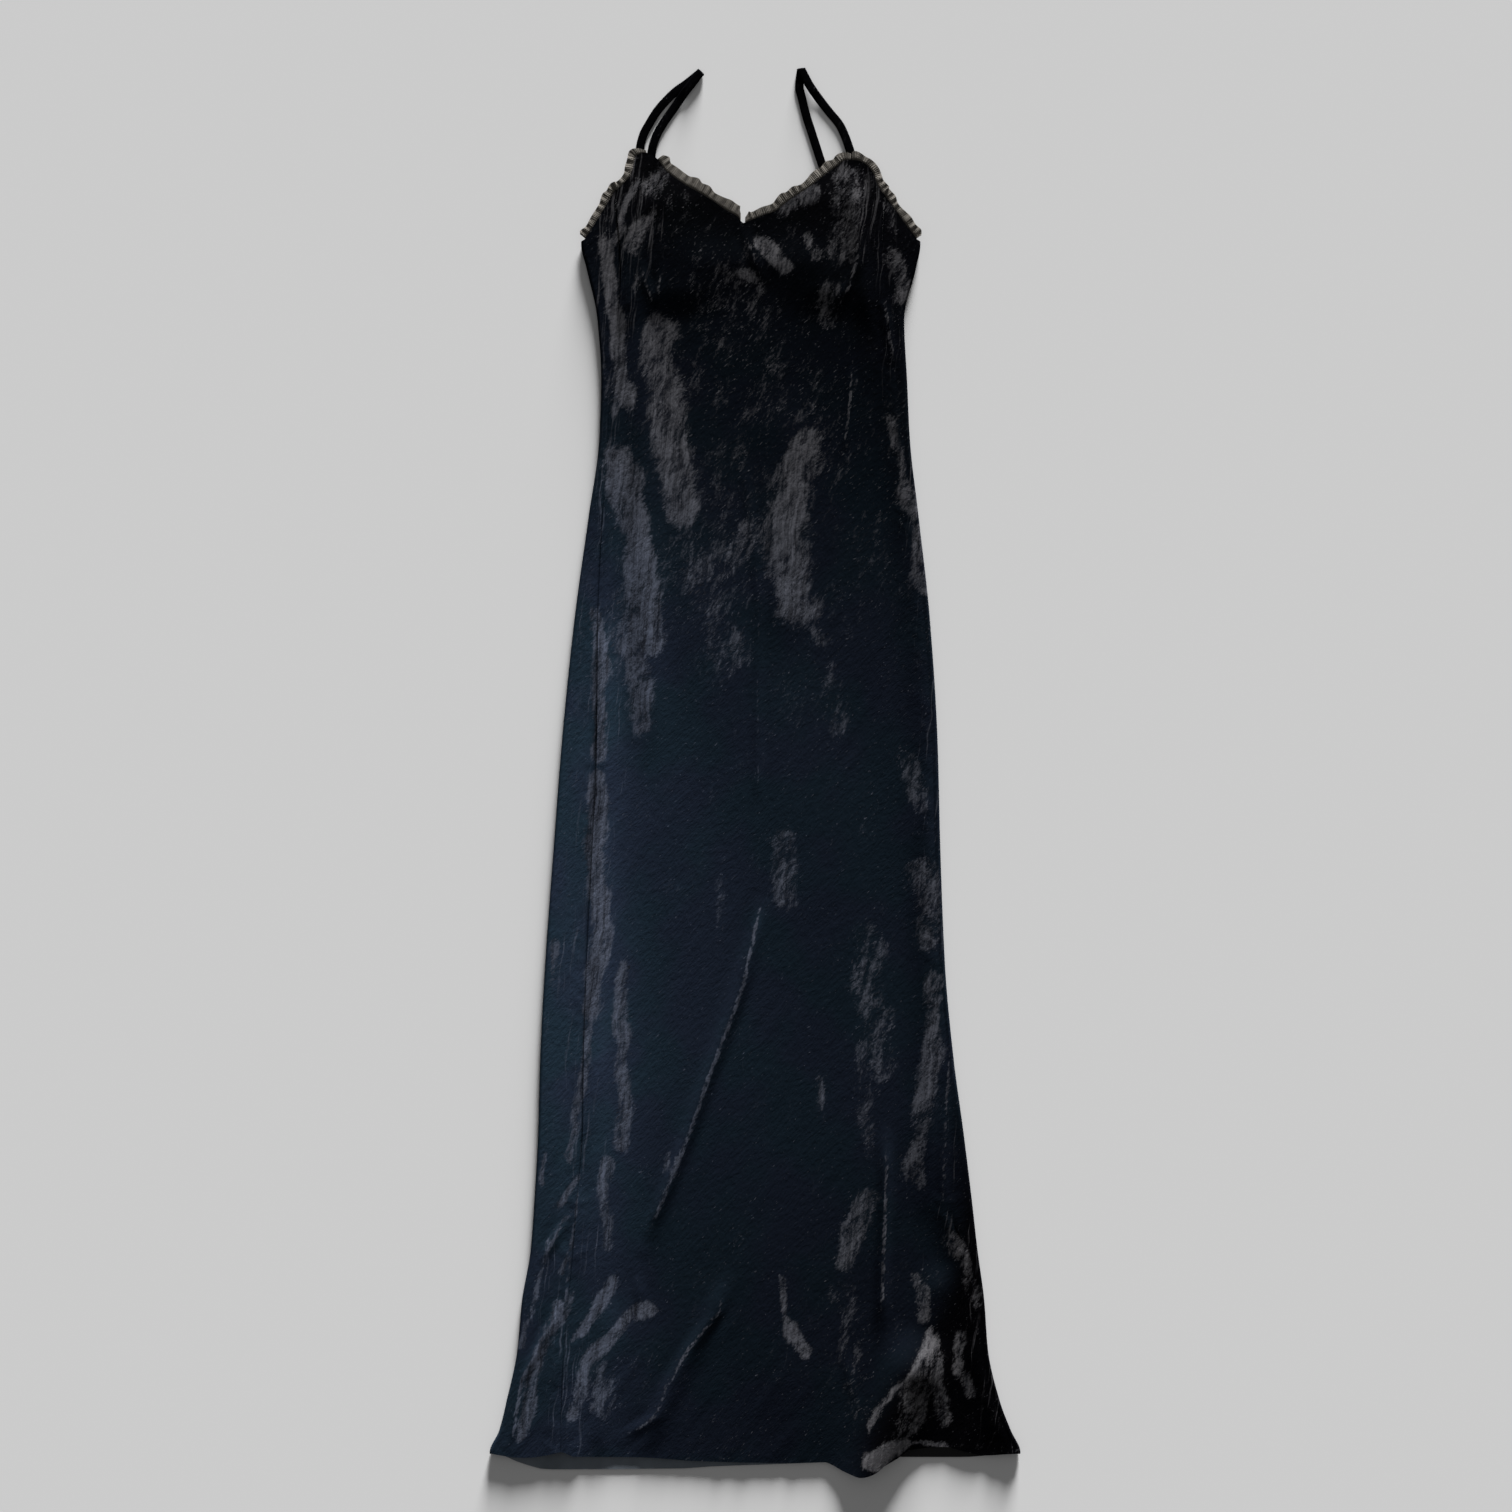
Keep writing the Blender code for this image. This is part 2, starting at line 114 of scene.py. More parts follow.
# %% [markdown]
# ## The outline
#
# The panels are cut on the bias, so they hang narrow at the waist and flare at the hem. Each row
# below is one level of the laid dress. The back rolls round both sides, so the side seams lie on
# top, well inside the outline at the left and close to it at the right.

# %% Give the sections, the necklines and the hems
SECTION_COLUMNS = ("above_hem", "left_edge", "right_edge", "left_seam", "right_seam")
SECTIONS = (
    (0, -279, 278, -204, 272),
    (23, -269, 268, -204, 262),
    (55, -261, 256, -203, 250),
    (107, -250, 244, -201, 238),
    (160, -245, 240, -196, 234),
    (212, -236, 233, -191, 222),
    (265, -232, 227, -187, 200),
    (338, -228, 218, -181, 200),
    (412, -226, 208, -180, 201),
    (509, -221, 199, -177, 193),
    (632, -212, 194, -171, 188),
    (748, -203, 191, -166, 185),
    (874, -190, 183, -165, 177),
    (983, -175, 171, -160, 165),
    (1063, -164, 162, -155, 155),
    (1126, -162, 159, -151, 148),
    (1189, -166, 156, -144, 139),
    (1241, -177, 168, -141, 134),
    (1268, -183, 173, -142, 133),
    (1325, -183, 173, -147, 135),
)
NECKLINE = (
    (-147, 1325), (-138, 1332), (-130, 1342), (-126, 1360), (-116, 1364), (-105, 1359), (-94, 1345),
    (-74, 1330), (-58, 1321), (-45, 1313), (-31, 1303), (-20, 1297), (-14, 1290), (-5, 1293), (8, 1298),
    (20, 1302), (29, 1309), (43, 1319), (57, 1328), (71, 1339), (83, 1348), (95, 1356), (105, 1356),
    (115, 1352), (123, 1343), (128, 1330), (135, 1320),
)
BACK_NECK = ((-183, 1268), (-150, 1263), (-95, 1259), (0, 1238), (95, 1259), (150, 1263), (173, 1268))
FRONT_HEM = (
    (-204, 1), (-190, -4), (-120, -5), (-60, -9), (35, -11), (71, -10), (94, -20), (110, -25),
    (124, -21), (136, -12), (149, -5), (162, 3), (199, 6), (220, 1), (240, -3), (272, -1),
)
BACK_HEM = (
    (-279, -1), (-247, -12), (-221, -18), (-79, -17), (-48, -15), (36, -12), (110, -9), (152, -5),
    (220, -5), (278, -1),
)


def section_curve(column):
    """The smooth curve of one column of the sections, from the hem up."""
    at = SECTION_COLUMNS.index(column)
    return smooth_curve([(row[0], row[at]) for row in SECTIONS])


left_edge, right_edge, left_seam, right_seam = (section_curve(name) for name in SECTION_COLUMNS[1:])
neckline, back_neck = smooth_curve(NECKLINE), smooth_curve(BACK_NECK)
front_hem, back_hem = smooth_curve(FRONT_HEM), smooth_curve(BACK_HEM)
UNDERARM, SEAM_TOP = 1268, 1325
print("waist:", float(right_edge(1100) - left_edge(1100)), "mm wide")

# %% [markdown]
# ## Folds and creases
#
# Three kinds of relief shape the velvet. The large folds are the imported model's own. The creases
# are thin and sharp, pressed in where the dress was folded or is pulled on the bias. The drag lines
# are many shallow waves that follow the bias, from lower left to upper right, and gather towards the
# strap and the side seams.

# %% Give the large folds
# Each fold: from across, from up, to across, to up, half width, height.
FRONT_FOLDS = {
    "left_side_ridge": (-158, 860, -172, 330, 15, 2.6),
    "left_inner_ridge": (-121, 1170, -112, 740, 18, 3.0),
    "right_side_ridge": (186, 690, 176, 280, 18, 3.0),
    "centre_swell": (36, 1100, 24, 860, 26, 1.8),
    "long_slant_crease": (8, 560, -111, 225, 9, 3.0),
    "low_slant_crease": (-33, 175, -112, 12, 9, 3.0),
    "right_upright_crease": (136, 330, 131, 130, 8, 2.4),
    "left_hem_crease": (-150, 150, -165, -5, 12, 2.2),
    "ripple_root": (196, 190, 170, 70, 15, 4.0),
    "ripple_crest": (176, 110, 108, -60, 24, 13.0),
    "left_cup": (-95, 1330, -80, 1200, 42, 4.2),
    "right_cup": (88, 1335, 75, 1200, 42, 4.2),
    "left_strap_pull": (-118, 1352, -136, 1180, 10, 2.4),
    "right_strap_pull": (100, 1345, 118, 1180, 10, 2.4),
    "rise_over_back_trim": (-75, 1250, 75, 1250, 22, 2.0),
}


def fold_height(x, y, fold):
    """How far one fold lifts the cloth at each point."""
    x0, y0, x1, y1, half_width, height = fold
    along_x, along_y = x1 - x0, y1 - y0
    length = math.hypot(along_x, along_y)
    along = ((x - x0) * along_x + (y - y0) * along_y) / length**2
    off_line = ((x - x0) * along_y - (y - y0) * along_x) / length
    fade = ease((along + 0.12) / 0.3) * ease((1.12 - along) / 0.3)
    return height * fade * np.exp(-((off_line / half_width) ** 2))


print(len(FRONT_FOLDS), "large folds")

# %% [markdown]
# The thin creases are short runs of straight stretches, each with its own height. Their ends fade out,
# and a pale highlight is painted along their tops.

# %% Give the thin creases
# Each crease: its points as (across, up), then its height.
CREASES = {
    "long_slant": (((5, 574), (-13, 489), (-53, 383), (-66, 343), (-111, 232)), 1.6),
    "low_slant": (((-34, 168), (-38, 148), (-70, 109), (-93, 70), (-105, 38), (-117, 29), (-140, 15)), 1.2),
    "right_upright": (((138, 328), (135, 227), (132, 136)), 1.3),
    "centre_line": (((-11, 1036), (-4, 968), (4, 890), (2, 806), (2, 680)), 0.5),
    "left_dart_outer": (((-125, 1253), (-104, 1197)), 1.0),
    "left_dart_inner": (((-99, 1242), (-104, 1197)), 1.0),
    "right_dart": (((110, 1263), (98, 1223), (85, 1199)), 1.2),
    "right_side_line": (((134, 1214), (146, 1135)), 1.2),
    "right_inner_line": (((102, 1146), (99, 1101), (92, 1043)), 1.0),
    "right_edge_line": (((184, 695), (174, 650)), 0.8),
    "right_seam_line": (((204, 423), (199, 353), (197, 252)), 1.0),
    "left_seam_line": (((-184, 288), (-197, 182), (-201, 136)), 1.0),
    "v_crease": (((-15, 1292), (8, 1226)), 0.9),
    "left_pucker_high": (((-199, 247), (-226, 195)), 1.4),
    "left_pucker_low": (((-207, 149), (-245, 76), (-256, 8)), 1.6),
    "low_right_thin": (((93, 111), (103, 50)), 0.8),
    "low_left_thin": (((-125, 192), (-118, 146)), 0.8),
}


def stroke_distance(x, y, points):
    """How far each point lies from a run of straight stretches, in millimetres."""
    nearest = np.full(np.shape(x), 1e9)
    for (x0, y0), (x1, y1) in zip(points, points[1:]):
        run_x, run_y = x1 - x0, y1 - y0
        along = np.clip(((x - x0) * run_x + (y - y0) * run_y) / (run_x**2 + run_y**2), 0, 1)
        nearest = np.minimum(nearest, np.hypot(x - x0 - along * run_x, y - y0 - along * run_y))
    return nearest


CREASE_REACH = 6.5
CREASE_FADE = 26.0


def crease_field(x, y):
    """The creases' height, and a painted highlight from 0 to 1 that is highest along the creases' lines."""
    height, highlight_mark = np.zeros(x.shape), np.zeros(x.shape)
    for points, rise in CREASES.values():
        away = stroke_distance(x, y, points)
        ends = points[0], points[-1]
        from_ends = np.minimum(*(np.hypot(x - end_x, y - end_y) for end_x, end_y in ends))
        fade = ease(from_ends / CREASE_FADE)
        height += rise * fade * (np.exp(-((away / 4.5) ** 2)) - 0.35 * np.exp(-(((away - 9) / 5) ** 2)))
        # The painted highlight along each crease's top, faded towards its ends.
        line = np.clip(1 - away / CREASE_REACH, 0, 1) * min(1.0, 0.55 + rise / 3.5)
        highlight_mark = np.maximum(highlight_mark, line * (0.75 + 0.25 * fade))
    return height, highlight_mark


print(len(CREASES), "thin creases")

# %% [markdown]
# ## Drag lines
#
# Cloth that was cut on the bias drags along it. The waves come from smooth noise that is stretched
# along the bias, so they wander and fade as real ones do. Noise from `mathutils` gives the same
# values on every run.

# %% Make the drag lines
BIAS = math.radians(57)


def wave_noise(x, y, along, across, angle=BIAS, seed=0.0):
    """Smooth noise from -1 to 1 whose waves are `along` by `across` millimetres, turned by an angle."""
    run = (x * math.cos(angle) + y * math.sin(angle)) / along
    side = (y * math.cos(angle) - x * math.sin(angle)) / across
    values = [noise.noise(Vector((a, b, seed))) for a, b in zip(run.ravel(), side.ravel())]
    return np.array(values).reshape(x.shape)


def drag_lines(x, y, seed=0.0):
    """The height of the fine waves, strongest by the side seams, the hem and the strap's root."""
    by_seams = np.exp(-(((x - left_seam(y)) / 42) ** 2)) + 0.7 * np.exp(-(((right_seam(y) - x) / 30) ** 2))
    by_hem = ease((190 - y) / 190)
    by_strap = np.exp(-(((x + 125) / 45) ** 2) - ((y - 1290) / 75) ** 2)
    steep = wave_noise(x, y, 120, 13, math.radians(78), seed + 3)
    fine = wave_noise(x, y, 55, 9, BIAS, seed + 7)
    broad = wave_noise(x, y, 260, 46, math.radians(84), seed + 11)
    steep *= 0.25 + 0.9 * by_seams + 0.5 * by_strap
    fine *= 0.18 + 0.4 * by_hem + 0.5 * by_strap
    return 0.5 * broad + steep + fine


print("drag lines run at", round(math.degrees(BIAS)), "degrees")

# %% [markdown]
# ## Where the pile is crushed, with its painted sheen
#
# Crushed velvet gets its look from pile that lies flat in some places and stands in others. Standing
# pile drinks the light. Flat pile shines, and that shine is painted into its colour as a grey sheen.
# Each row below is one place where it lies flat and the sheen is painted, as a stroke with a half
# width and a strength: near 1 is a solid patch, and about 0.4 only flecks.
# The strokes are stored on the sheet's points, and the material later breaks their edges into shards.

# %% Give the crushed patches, where grey sheen is painted
# Each patch: its points as (across, up), then its half width and its strength.
PATCHES = {
    "left_wrap_upper": (((-157, 1270), (-150, 1216), (-141, 1136), (-134, 1098)), 7, 0.85),
    "left_front_upper": (((-103, 1179), (-100, 1126), (-92, 1076), (-80, 1028), (-74, 988)), 17, 0.76),
    "left_front_middle": (((-143, 1043), (-130, 979), (-116, 881), (-111, 853)), 17, 0.8),
    "left_front_lower": (((-129, 841), (-121, 802), (-118, 762)), 13, 0.7),
    "left_wrap_thin": (((-165, 881), (-162, 782), (-163, 733)), 7, 0.8),
    "left_between": (((-145, 900), (-140, 842)), 9, 0.55),
    "left_wrap_streak": (((-154, 1136), (-148, 1086)), 5, 0.5),
    "left_cup_peak": (((-96, 1344), (-112, 1324)), 8, 0.6),
    "left_cup_high_flame": (((-123, 1333), (-134, 1315)), 5, 0.7),
    "left_cup_long_flame": (((-137, 1315), (-142, 1284), (-158, 1261)), 5, 0.75),
    "left_cup_middle_flame": (((-116, 1290), (-128, 1279), (-134, 1261)), 6, 0.7),
    "left_cup_thin_flame": (((-107, 1299), (-125, 1270)), 3, 0.6),
    "left_cup_low_flame": (((-123, 1240), (-124, 1222)), 4, 0.6),
    "left_cup_swirl": (((-92, 1317), (-84, 1302)), 5, 0.45),
    "left_arm_shards": (((-146, 1316), (-163, 1273)), 5, 0.4),
    "right_cup_patch": (((97, 1340), (99, 1299), (91, 1262)), 15, 0.5),
    "right_neck_shards": (((28, 1302), (59, 1323)), 8, 0.7),
    "under_v_right": (((6, 1266), (30, 1245)), 8, 0.75),
    "under_v_low": (((-11, 1239), (5, 1223)), 7, 0.6),
    "right_bust": (((79, 1220), (76, 1186)), 10, 0.5),
    "right_bust_small": (((55, 1273), (66, 1256)), 6, 0.5),
    "right_ear": (((137, 1307), (142, 1273)), 5, 0.5),
    "right_ear_low": (((145, 1256), (156, 1214)), 9, 0.6),
    "right_edge_high": (((139, 1087), (149, 1047), (158, 1003)), 4, 0.6),
    "right_edge_low": (((158, 1015), (171, 954), (176, 905)), 8, 0.6),
    "centre_patch": (((51, 1047), (36, 1000), (29, 958), (44, 890)), 21, 0.75),
    "centre_arm": (((-4, 970), (-30, 929), (-74, 918)), 14, 0.5),
    "upper_specks": (((-32, 1210), (-11, 1126), (36, 1105)), 47, 0.3),
    "middle_specks": (((-58, 905), (-29, 837)), 23, 0.45),
    "middle_specks_right": (((59, 865), (70, 847)), 7, 0.5),
    "right_specks": (((78, 821), (87, 762)), 10, 0.4),
    "right_edge_specks": (((157, 733), (171, 685)), 10, 0.45),
    "low_left_long": (((-166, 706), (-167, 605), (-161, 554), (-172, 464)), 9, 0.85),
    "low_left_tail": (((-172, 464), (-179, 403), (-197, 308)), 5, 0.7),
    "low_left_inner": (((-141, 504), (-142, 412), (-136, 373), (-141, 322)), 8, 0.75),
    "low_left_inner_tail": (((-154, 302), (-157, 252), (-156, 217)), 7, 0.75),
    "left_wrap_small": (((-209, 534), (-213, 489)), 5, 0.6),
    "left_wrap_crease": (((-199, 247), (-219, 222), (-237, 142), (-244, 111)), 3, 0.6),
    "left_hem_patch": (((-206, 151), (-219, 116), (-235, 82), (-237, 55), (-246, 18)), 7, 0.75),
    "low_left_shard": (((-152, 180), (-163, 156), (-180, 128)), 7, 0.8),
    "low_left_sweep": (((-117, 150), (-134, 142), (-156, 115), (-181, 95)), 8, 0.85),
    "low_left_cup": (((-181, 95), (-184, 66), (-193, 40)), 7, 0.75),
    "left_seam_thread_top": (((-186, 290), (-206, 261)), 3, 0.72),
    "left_seam_thread_high": (((-193, 222), (-203, 187)), 3, 0.72),
    "left_seam_thread_low": (((-191, 166), (-204, 136)), 2.5, 0.65),
    "left_seam_thread_base": (((-182, 136), (-193, 121)), 3, 0.65),
    "left_wrap_thread": (((-220, 313), (-222, 281)), 3, 0.65),
    "long_slant_thread": (((-80, 310), (-87, 285)), 3, 0.6),
    "long_slant_thread_left": (((-92, 315), (-96, 295)), 3, 0.6),
    "low_left_veil": (((-170, 84), (-160, 52)), 15, 0.55),
    "right_band_high": (((173, 610), (184, 585), (181, 540)), 14, 0.6),
    "right_band_low": (((187, 494), (184, 439), (177, 349), (166, 288)), 10, 0.65),
    "right_cluster": (((118, 548), (122, 475), (135, 406)), 15, 0.45),
    "centre_cluster": (((27, 645), (29, 580)), 12, 0.55),
    "centre_cluster_left": (((-38, 615), (-40, 534)), 5, 0.35),
    "low_right_cluster": (((116, 265), (94, 206)), 13, 0.6),
    "low_centre_streak": (((29, 182), (27, 150), (34, 130)), 4, 0.65),
    "low_centre_spot": (((39, 128), (46, 117), (52, 108)), 7, 0.8),
    "low_right_streaks": (((206, 223), (223, 196), (232, 158)), 8, 0.45),
    "right_hem_patch": (((214, 118), (212, 88), (230, 66)), 6, 0.6),
    "ripple_left_side": (((183, 130), (165, 89), (134, 50), (116, 27)), 3, 0.75),
    "ripple_right_side": (((187, 121), (191, 74), (197, 31)), 7, 0.65),
    "ripple_inside": (((180, 100), (168, 58), (165, 27)), 14, 0.62),
    "ripple_hem": (((124, -8), (140, 2), (160, 10)), 8, 1.1),
    "ripple_hem_thin": (((150, 7), (201, 9)), 3, 1.0),
    "right_low_thin": (((169, 187), (176, 142)), 5, 0.55),
    "right_small": (((68, 393), (71, 363)), 4, 0.6),
    "right_column_specks": (((113, 423), (118, 322)), 7, 0.4),
    "low_right_specks": (((93, 160), (106, 50)), 13, 0.35),
}
WANDER = 7.0
# How much painted grey sheen lies everywhere as flecks, by height up the dress.
fleck_up = smooth_curve(((0, 0.12), (300, 0.07), (700, 0.1), (950, 0.22), (1300, 0.15)))


def crush_and_sheen_field(x, y):
    """How flat the pile lies, and so where grey sheen is painted: from 0 where it stands to 1 in a solid
    patch, with torn outlines.
    """
    near_x = x + WANDER * wave_noise(x, y, 42, 24, BIAS, 31.0)
    near_y = y + WANDER * wave_noise(x, y, 42, 24, BIAS, 37.0)
    swell = 1 + 0.45 * wave_noise(x, y, 70, 38, BIAS, 43.0)
    crushed = fleck_up(y) * (1 + wave_noise(x, y, 90, 60, BIAS, 51.0))
    for points, half_width, strength in PATCHES.values():
        away = stroke_distance(near_x, near_y, points) / (half_width * swell)
        crushed = np.maximum(crushed, strength * ease(1.45 - 0.8 * away))
    return crushed


print(len(PATCHES), "crushed patches")

# %% [markdown]
# ## A sheet of cloth
#
# `bmesh.ops.create_grid` makes a flat grid with a UV map, and `cloth_sheet` moves its points to where
# a rule says, from how far across and how far up the sheet each point lies. A Solidify modifier gives
# the sheet its thickness, with the cloth's reverse as a second material on the inside.

# %% Define the sheet maker
def cloth_sheet(name, across, up, rule, thickness, materials, size):
    """A sheet from arrays of fractions across and up. The rule returns the points and named values."""
    columns, rows = len(across) - 1, len(up) - 1
    bm = bmesh.new()
    bm.loops.layers.uv.new("UVMap")
    bmesh.ops.create_grid(bm, x_segments=columns, y_segments=rows, size=0.5, calc_uvs=True)
    for edge in bm.edges:
        edge.smooth = not edge.is_boundary
    mesh = bpy.data.meshes.new(name)
    bm.to_mesh(mesh)
    bm.free()
    flat = np.zeros(len(mesh.vertices) * 3)
    mesh.vertices.foreach_get("co", flat)
    flat = flat.reshape(-1, 3)
    column = np.rint((flat[:, 0] + 0.5) * columns).astype(int)
    row = np.rint((flat[:, 1] + 0.5) * rows).astype(int)
    points, values = rule(across[column], up[row])
    mesh.vertices.foreach_set("co", points.ravel())
    uv = np.zeros(len(mesh.loops) * 2)
    mesh.uv_layers[0].data.foreach_get("uv", uv)
    mesh.uv_layers[0].data.foreach_set("uv", (uv.reshape(-1, 2) * size).ravel())
    for label, amounts in values.items():
        mesh.attributes.new(label, "FLOAT", "POINT").data.foreach_set("value", amounts)
    mesh.shade_smooth()
    piece = bpy.data.objects.new(name, mesh)
    bpy.context.scene.collection.objects.link(piece)
    for material in materials:
        mesh.materials.append(material)
    wall = piece.modifiers.new("cloth thickness", "SOLIDIFY")
    wall.thickness = thickness / 1000
    wall.offset = -1
    wall.use_even_offset = False
    wall.material_offset = len(materials) - 1
    mesh.update()
    print(name, columns, "by", rows, "faces,", round(cloth_area(mesh), 3), "square metres")
    return piece


def cloth_area(mesh):
    """The area of a sheet in square metres."""
    return sum(face.area for face in mesh.polygons)


# %% [markdown]
# ## Colours and nodes
#
# Every colour is an sRGB hex value, turned to linear light by one function. One more function adds
# a node, sets its inputs and links it, so that each material below reads as a short list of steps.

# %% Define the colour and node helpers
def linear(hex_colour):
    """Turns an sRGB colour such as "#1A1C20" into linear RGBA."""
    channels = [int(hex_colour[k:k + 2], 16) / 255 for k in (1, 3, 5)]
    return (*(c / 12.92 if c <= 0.04045 else ((c + 0.055) / 1.055) ** 2.4 for c in channels), 1)


def add_node(tree, kind, settings=None, **inputs):
    """Adds a node. An input takes a number, a colour, or another node's output socket."""
    node = tree.nodes.new(kind)
    for key, value in (settings or {}).items():
        setattr(node, key, value)
    for key, value in inputs.items():
        socket = node.inputs[int(key[1:])] if key[0] == "_" else node.inputs[key.replace("_", " ")]
        if isinstance(value, bpy.types.NodeSocket):
            tree.links.new(value, socket)
        else:
            socket.default_value = value
    return node


def new_material(name):
    """An empty node material with its Principled shader."""
    material = bpy.data.materials.new(name)
    material.use_nodes = True
    return material, material.node_tree, material.node_tree.nodes["Principled BSDF"]


print("velvet black in linear light:", [round(v, 4) for v in linear("#0A0C12")[:3]])

# %% [markdown]
# ## Crushed velvet
#
# Viscose pile on a knitted ground, pressed flat at random while damp. The standing pile is almost
# black, with a navy sheen painted on it. Flat pile shines, and its shine is painted in as grey, with
# ragged shards that run along the bias. Stretched noises make the shards: large ones of 32 by 12 mm,
# small ones of 8 by 3 mm, flecks of 5 by 1.5 mm and pulled lines of 85 by 3.2 mm. A grain of 1.8 by
# 1.1 mm stands for the tufts. The real tufts are 0.1 mm across, which is too fine to show, so they are
# drawn coarser.

# %% Make the velvet
def velvet_material(name, standing, painted_sheen, painted_sheen_teal, flat_sheen_low, flat_sheen_cool, flat_sheen_warm):
    """Crushed velvet: black pile with a blue sheen painted in two shades, and flat pile whose painted grey
    sheen runs from dark to pale, cool or warm.
    """
    material, tree, shader = new_material(name)
    place = add_node(tree, "ShaderNodeTexCoord").outputs["Object"]
    multiply, multiply_add, larger = ({"operation": name} for name in ("MULTIPLY", "MULTIPLY_ADD", "MAXIMUM"))
    smooth, colours = {"interpolation_type": "SMOOTHSTEP"}, {"data_type": "RGBA"}

    def made(kind, settings=None, output=0, **inputs):
        return add_node(tree, "ShaderNode" + kind, settings, **inputs).outputs[output]

    wander = made("TexNoise", None, "Color", Vector=place, Scale=22.0, Detail=2.0)
    bent = made("VectorMath", multiply_add, _0=wander, _1=(0.012, 0.012, 0), _2=place)

    def shards(long_mm, wide_mm, detail, degrees):
        turned = made(
            "Mapping", {"vector_type": "TEXTURE"}, Vector=bent,
            Rotation=(0, 0, math.radians(degrees)), Scale=(long_mm / 1000, wide_mm / 1000, 0.01),
        )
        return made("TexNoise", None, "Fac", Vector=turned, Scale=1.0, Detail=detail, Roughness=0.62)

    crushed, crease, sheen_amount, strain = (
        made("Attribute", {"attribute_name": name}, "Fac") for name in ("crushed", "crease", "painted_sheen", "strain")
    )
    large = made("MapRange", smooth, Value=shards(32, 12, 4.0, 70), From_Min=0.3, From_Max=0.7)
    small = made("MapRange", smooth, Value=shards(8, 3, 3.0, 54), From_Min=0.28, From_Max=0.72)
    fine = shards(5, 1.5, 2.0, 40)
    pulled = shards(85, 3.2, 3.0, 84)
    grain = shards(1.8, 1.1, 1.0, 50)

    # How much grey sheen is painted where the pile lies flat: torn patches, loose flecks, painted
    # highlights on the creases' tops and pale painted lines along the drag lines, whichever is most.
    mixed = made("Math", multiply_add, _0=small, _1=0.42, _2=made("Math", multiply, _0=large, _1=0.58))
    torn = made("Math", multiply_add, _0=mixed, _1=0.78, _2=made("Math", multiply, _0=grain, _1=0.4))
    lying = made("Math", multiply_add, _0=crushed, _1=1.05, _2=torn)
    patch = made("MapRange", smooth, Value=lying, From_Min=0.93, From_Max=1.45)
    share = made("MapRange", smooth, Value=crushed, From_Min=0.1, From_Max=0.9, To_Min=0.5)
    patch = made("Math", multiply, _0=patch, _1=share)
    loose = made("Math", multiply_add, _0=crushed, _1=0.22, _2=fine)
    fleck = made("MapRange", smooth, Value=loose, From_Min=0.69, From_Max=0.78, To_Max=0.85)
    # A pale highlight painted along the creases' tops.
    crease_highlight_mask = made("Math", multiply_add, _0=small, _1=0.3, _2=crease)
    line = made("MapRange", smooth, Value=crease_highlight_mask, From_Min=0.78, From_Max=0.98, To_Max=0.8)
    # Pale sheen painted along the drag lines where the cloth is pulled.
    drag = made("Math", multiply_add, _0=strain, _1=0.2, _2=pulled)
    drawn = made("MapRange", smooth, Value=drag, From_Min=0.71, From_Max=0.88, To_Max=0.5)
    flat = patch
    for other in (fleck, line, drawn):
        flat = made("Math", larger, _0=flat, _1=other)

    # How pale the painted sheen on the flat pile is: streaked by the pull, and even where a patch is solid.
    tone = made("Math", multiply_add, _0=grain, _1=0.35, _2=made("Math", multiply, _0=mixed, _1=0.3))
    tone = made("Math", multiply_add, _0=pulled, _1=0.75, _2=tone)
    tone = made("MapRange", smooth, Value=tone, From_Min=0.42, From_Max=1.0)
    even = made("MapRange", smooth, Value=crushed, From_Min=0.95, From_Max=1.2, To_Max=0.8)
    tone = made("Math", larger, _0=tone, _1=even)

    # Painted sheen: the blue on the standing pile drifts between navy and teal.
    clouds = made("TexNoise", None, "Fac", Vector=place, Scale=11.0, Detail=2.0)
    drift = made("MapRange", smooth, Value=clouds, From_Min=0.4, From_Max=0.6)
    sheen_cast = made("Mix", colours, 2, Factor=drift, _6=painted_sheen, _7=painted_sheen_teal)
    # The standing pile's near-black colour, with the blue sheen painted over it where the pile leans.
    pile = made("Mix", colours, 2, Factor=sheen_amount, _6=standing, _7=sheen_cast)
    cool = made("MapRange", smooth, Value=sheen_amount, From_Min=0.0, From_Max=0.6)
    # The flat pile's painted grey sheen, cooler where the blue sheen is painted.
    flat_sheen_high = made("Mix", colours, 2, Factor=cool, _6=flat_sheen_warm, _7=flat_sheen_cool)
    flat_pile_sheen = made("Mix", colours, 2, Factor=tone, _6=flat_sheen_low, _7=flat_sheen_high)
    # Where the pile lies flat, the painted grey sheen takes over from the pile's colour.
    colour = made("Mix", colours, 2, Factor=flat, _6=pile, _7=flat_pile_sheen)
    tree.links.new(colour, shader.inputs["Base Color"])
    rough = made("MapRange", smooth, Value=flat, From_Min=0.0, From_Max=1.0, To_Min=0.85, To_Max=0.55)
    tree.links.new(rough, shader.inputs["Roughness"])

    height = made("Math", multiply_add, _0=grain, _1=0.2, _2=small)
    height = made("Math", multiply_add, _0=flat, _1=-0.25, _2=height)
    bump = made("Bump", Strength=0.3, Distance=0.0006, Height=height)
    tree.links.new(bump, shader.inputs["Normal"])
    shader.inputs["Specular IOR Level"].default_value = 0.01
    shader.inputs["Sheen Weight"].default_value = 0.015
    shader.inputs["Sheen Roughness"].default_value = 0.4
    shader.inputs["Sheen Tint"].default_value = linear("#8A93A6")
    return material


velvet = velvet_material(
    "crushed viscose velvet",
    standing=linear("#010102"),
    # The navy and teal sheen painted on the standing pile.
    painted_sheen=linear("#1F2735"),
    painted_sheen_teal=linear("#1C2934"),
    # The flat pile's painted grey sheen, from dark to pale.
    flat_sheen_low=linear("#131418"),
    flat_sheen_cool=linear("#4B515F"),
    flat_sheen_warm=linear("#4A494B"),
)
print("made", velvet.name)
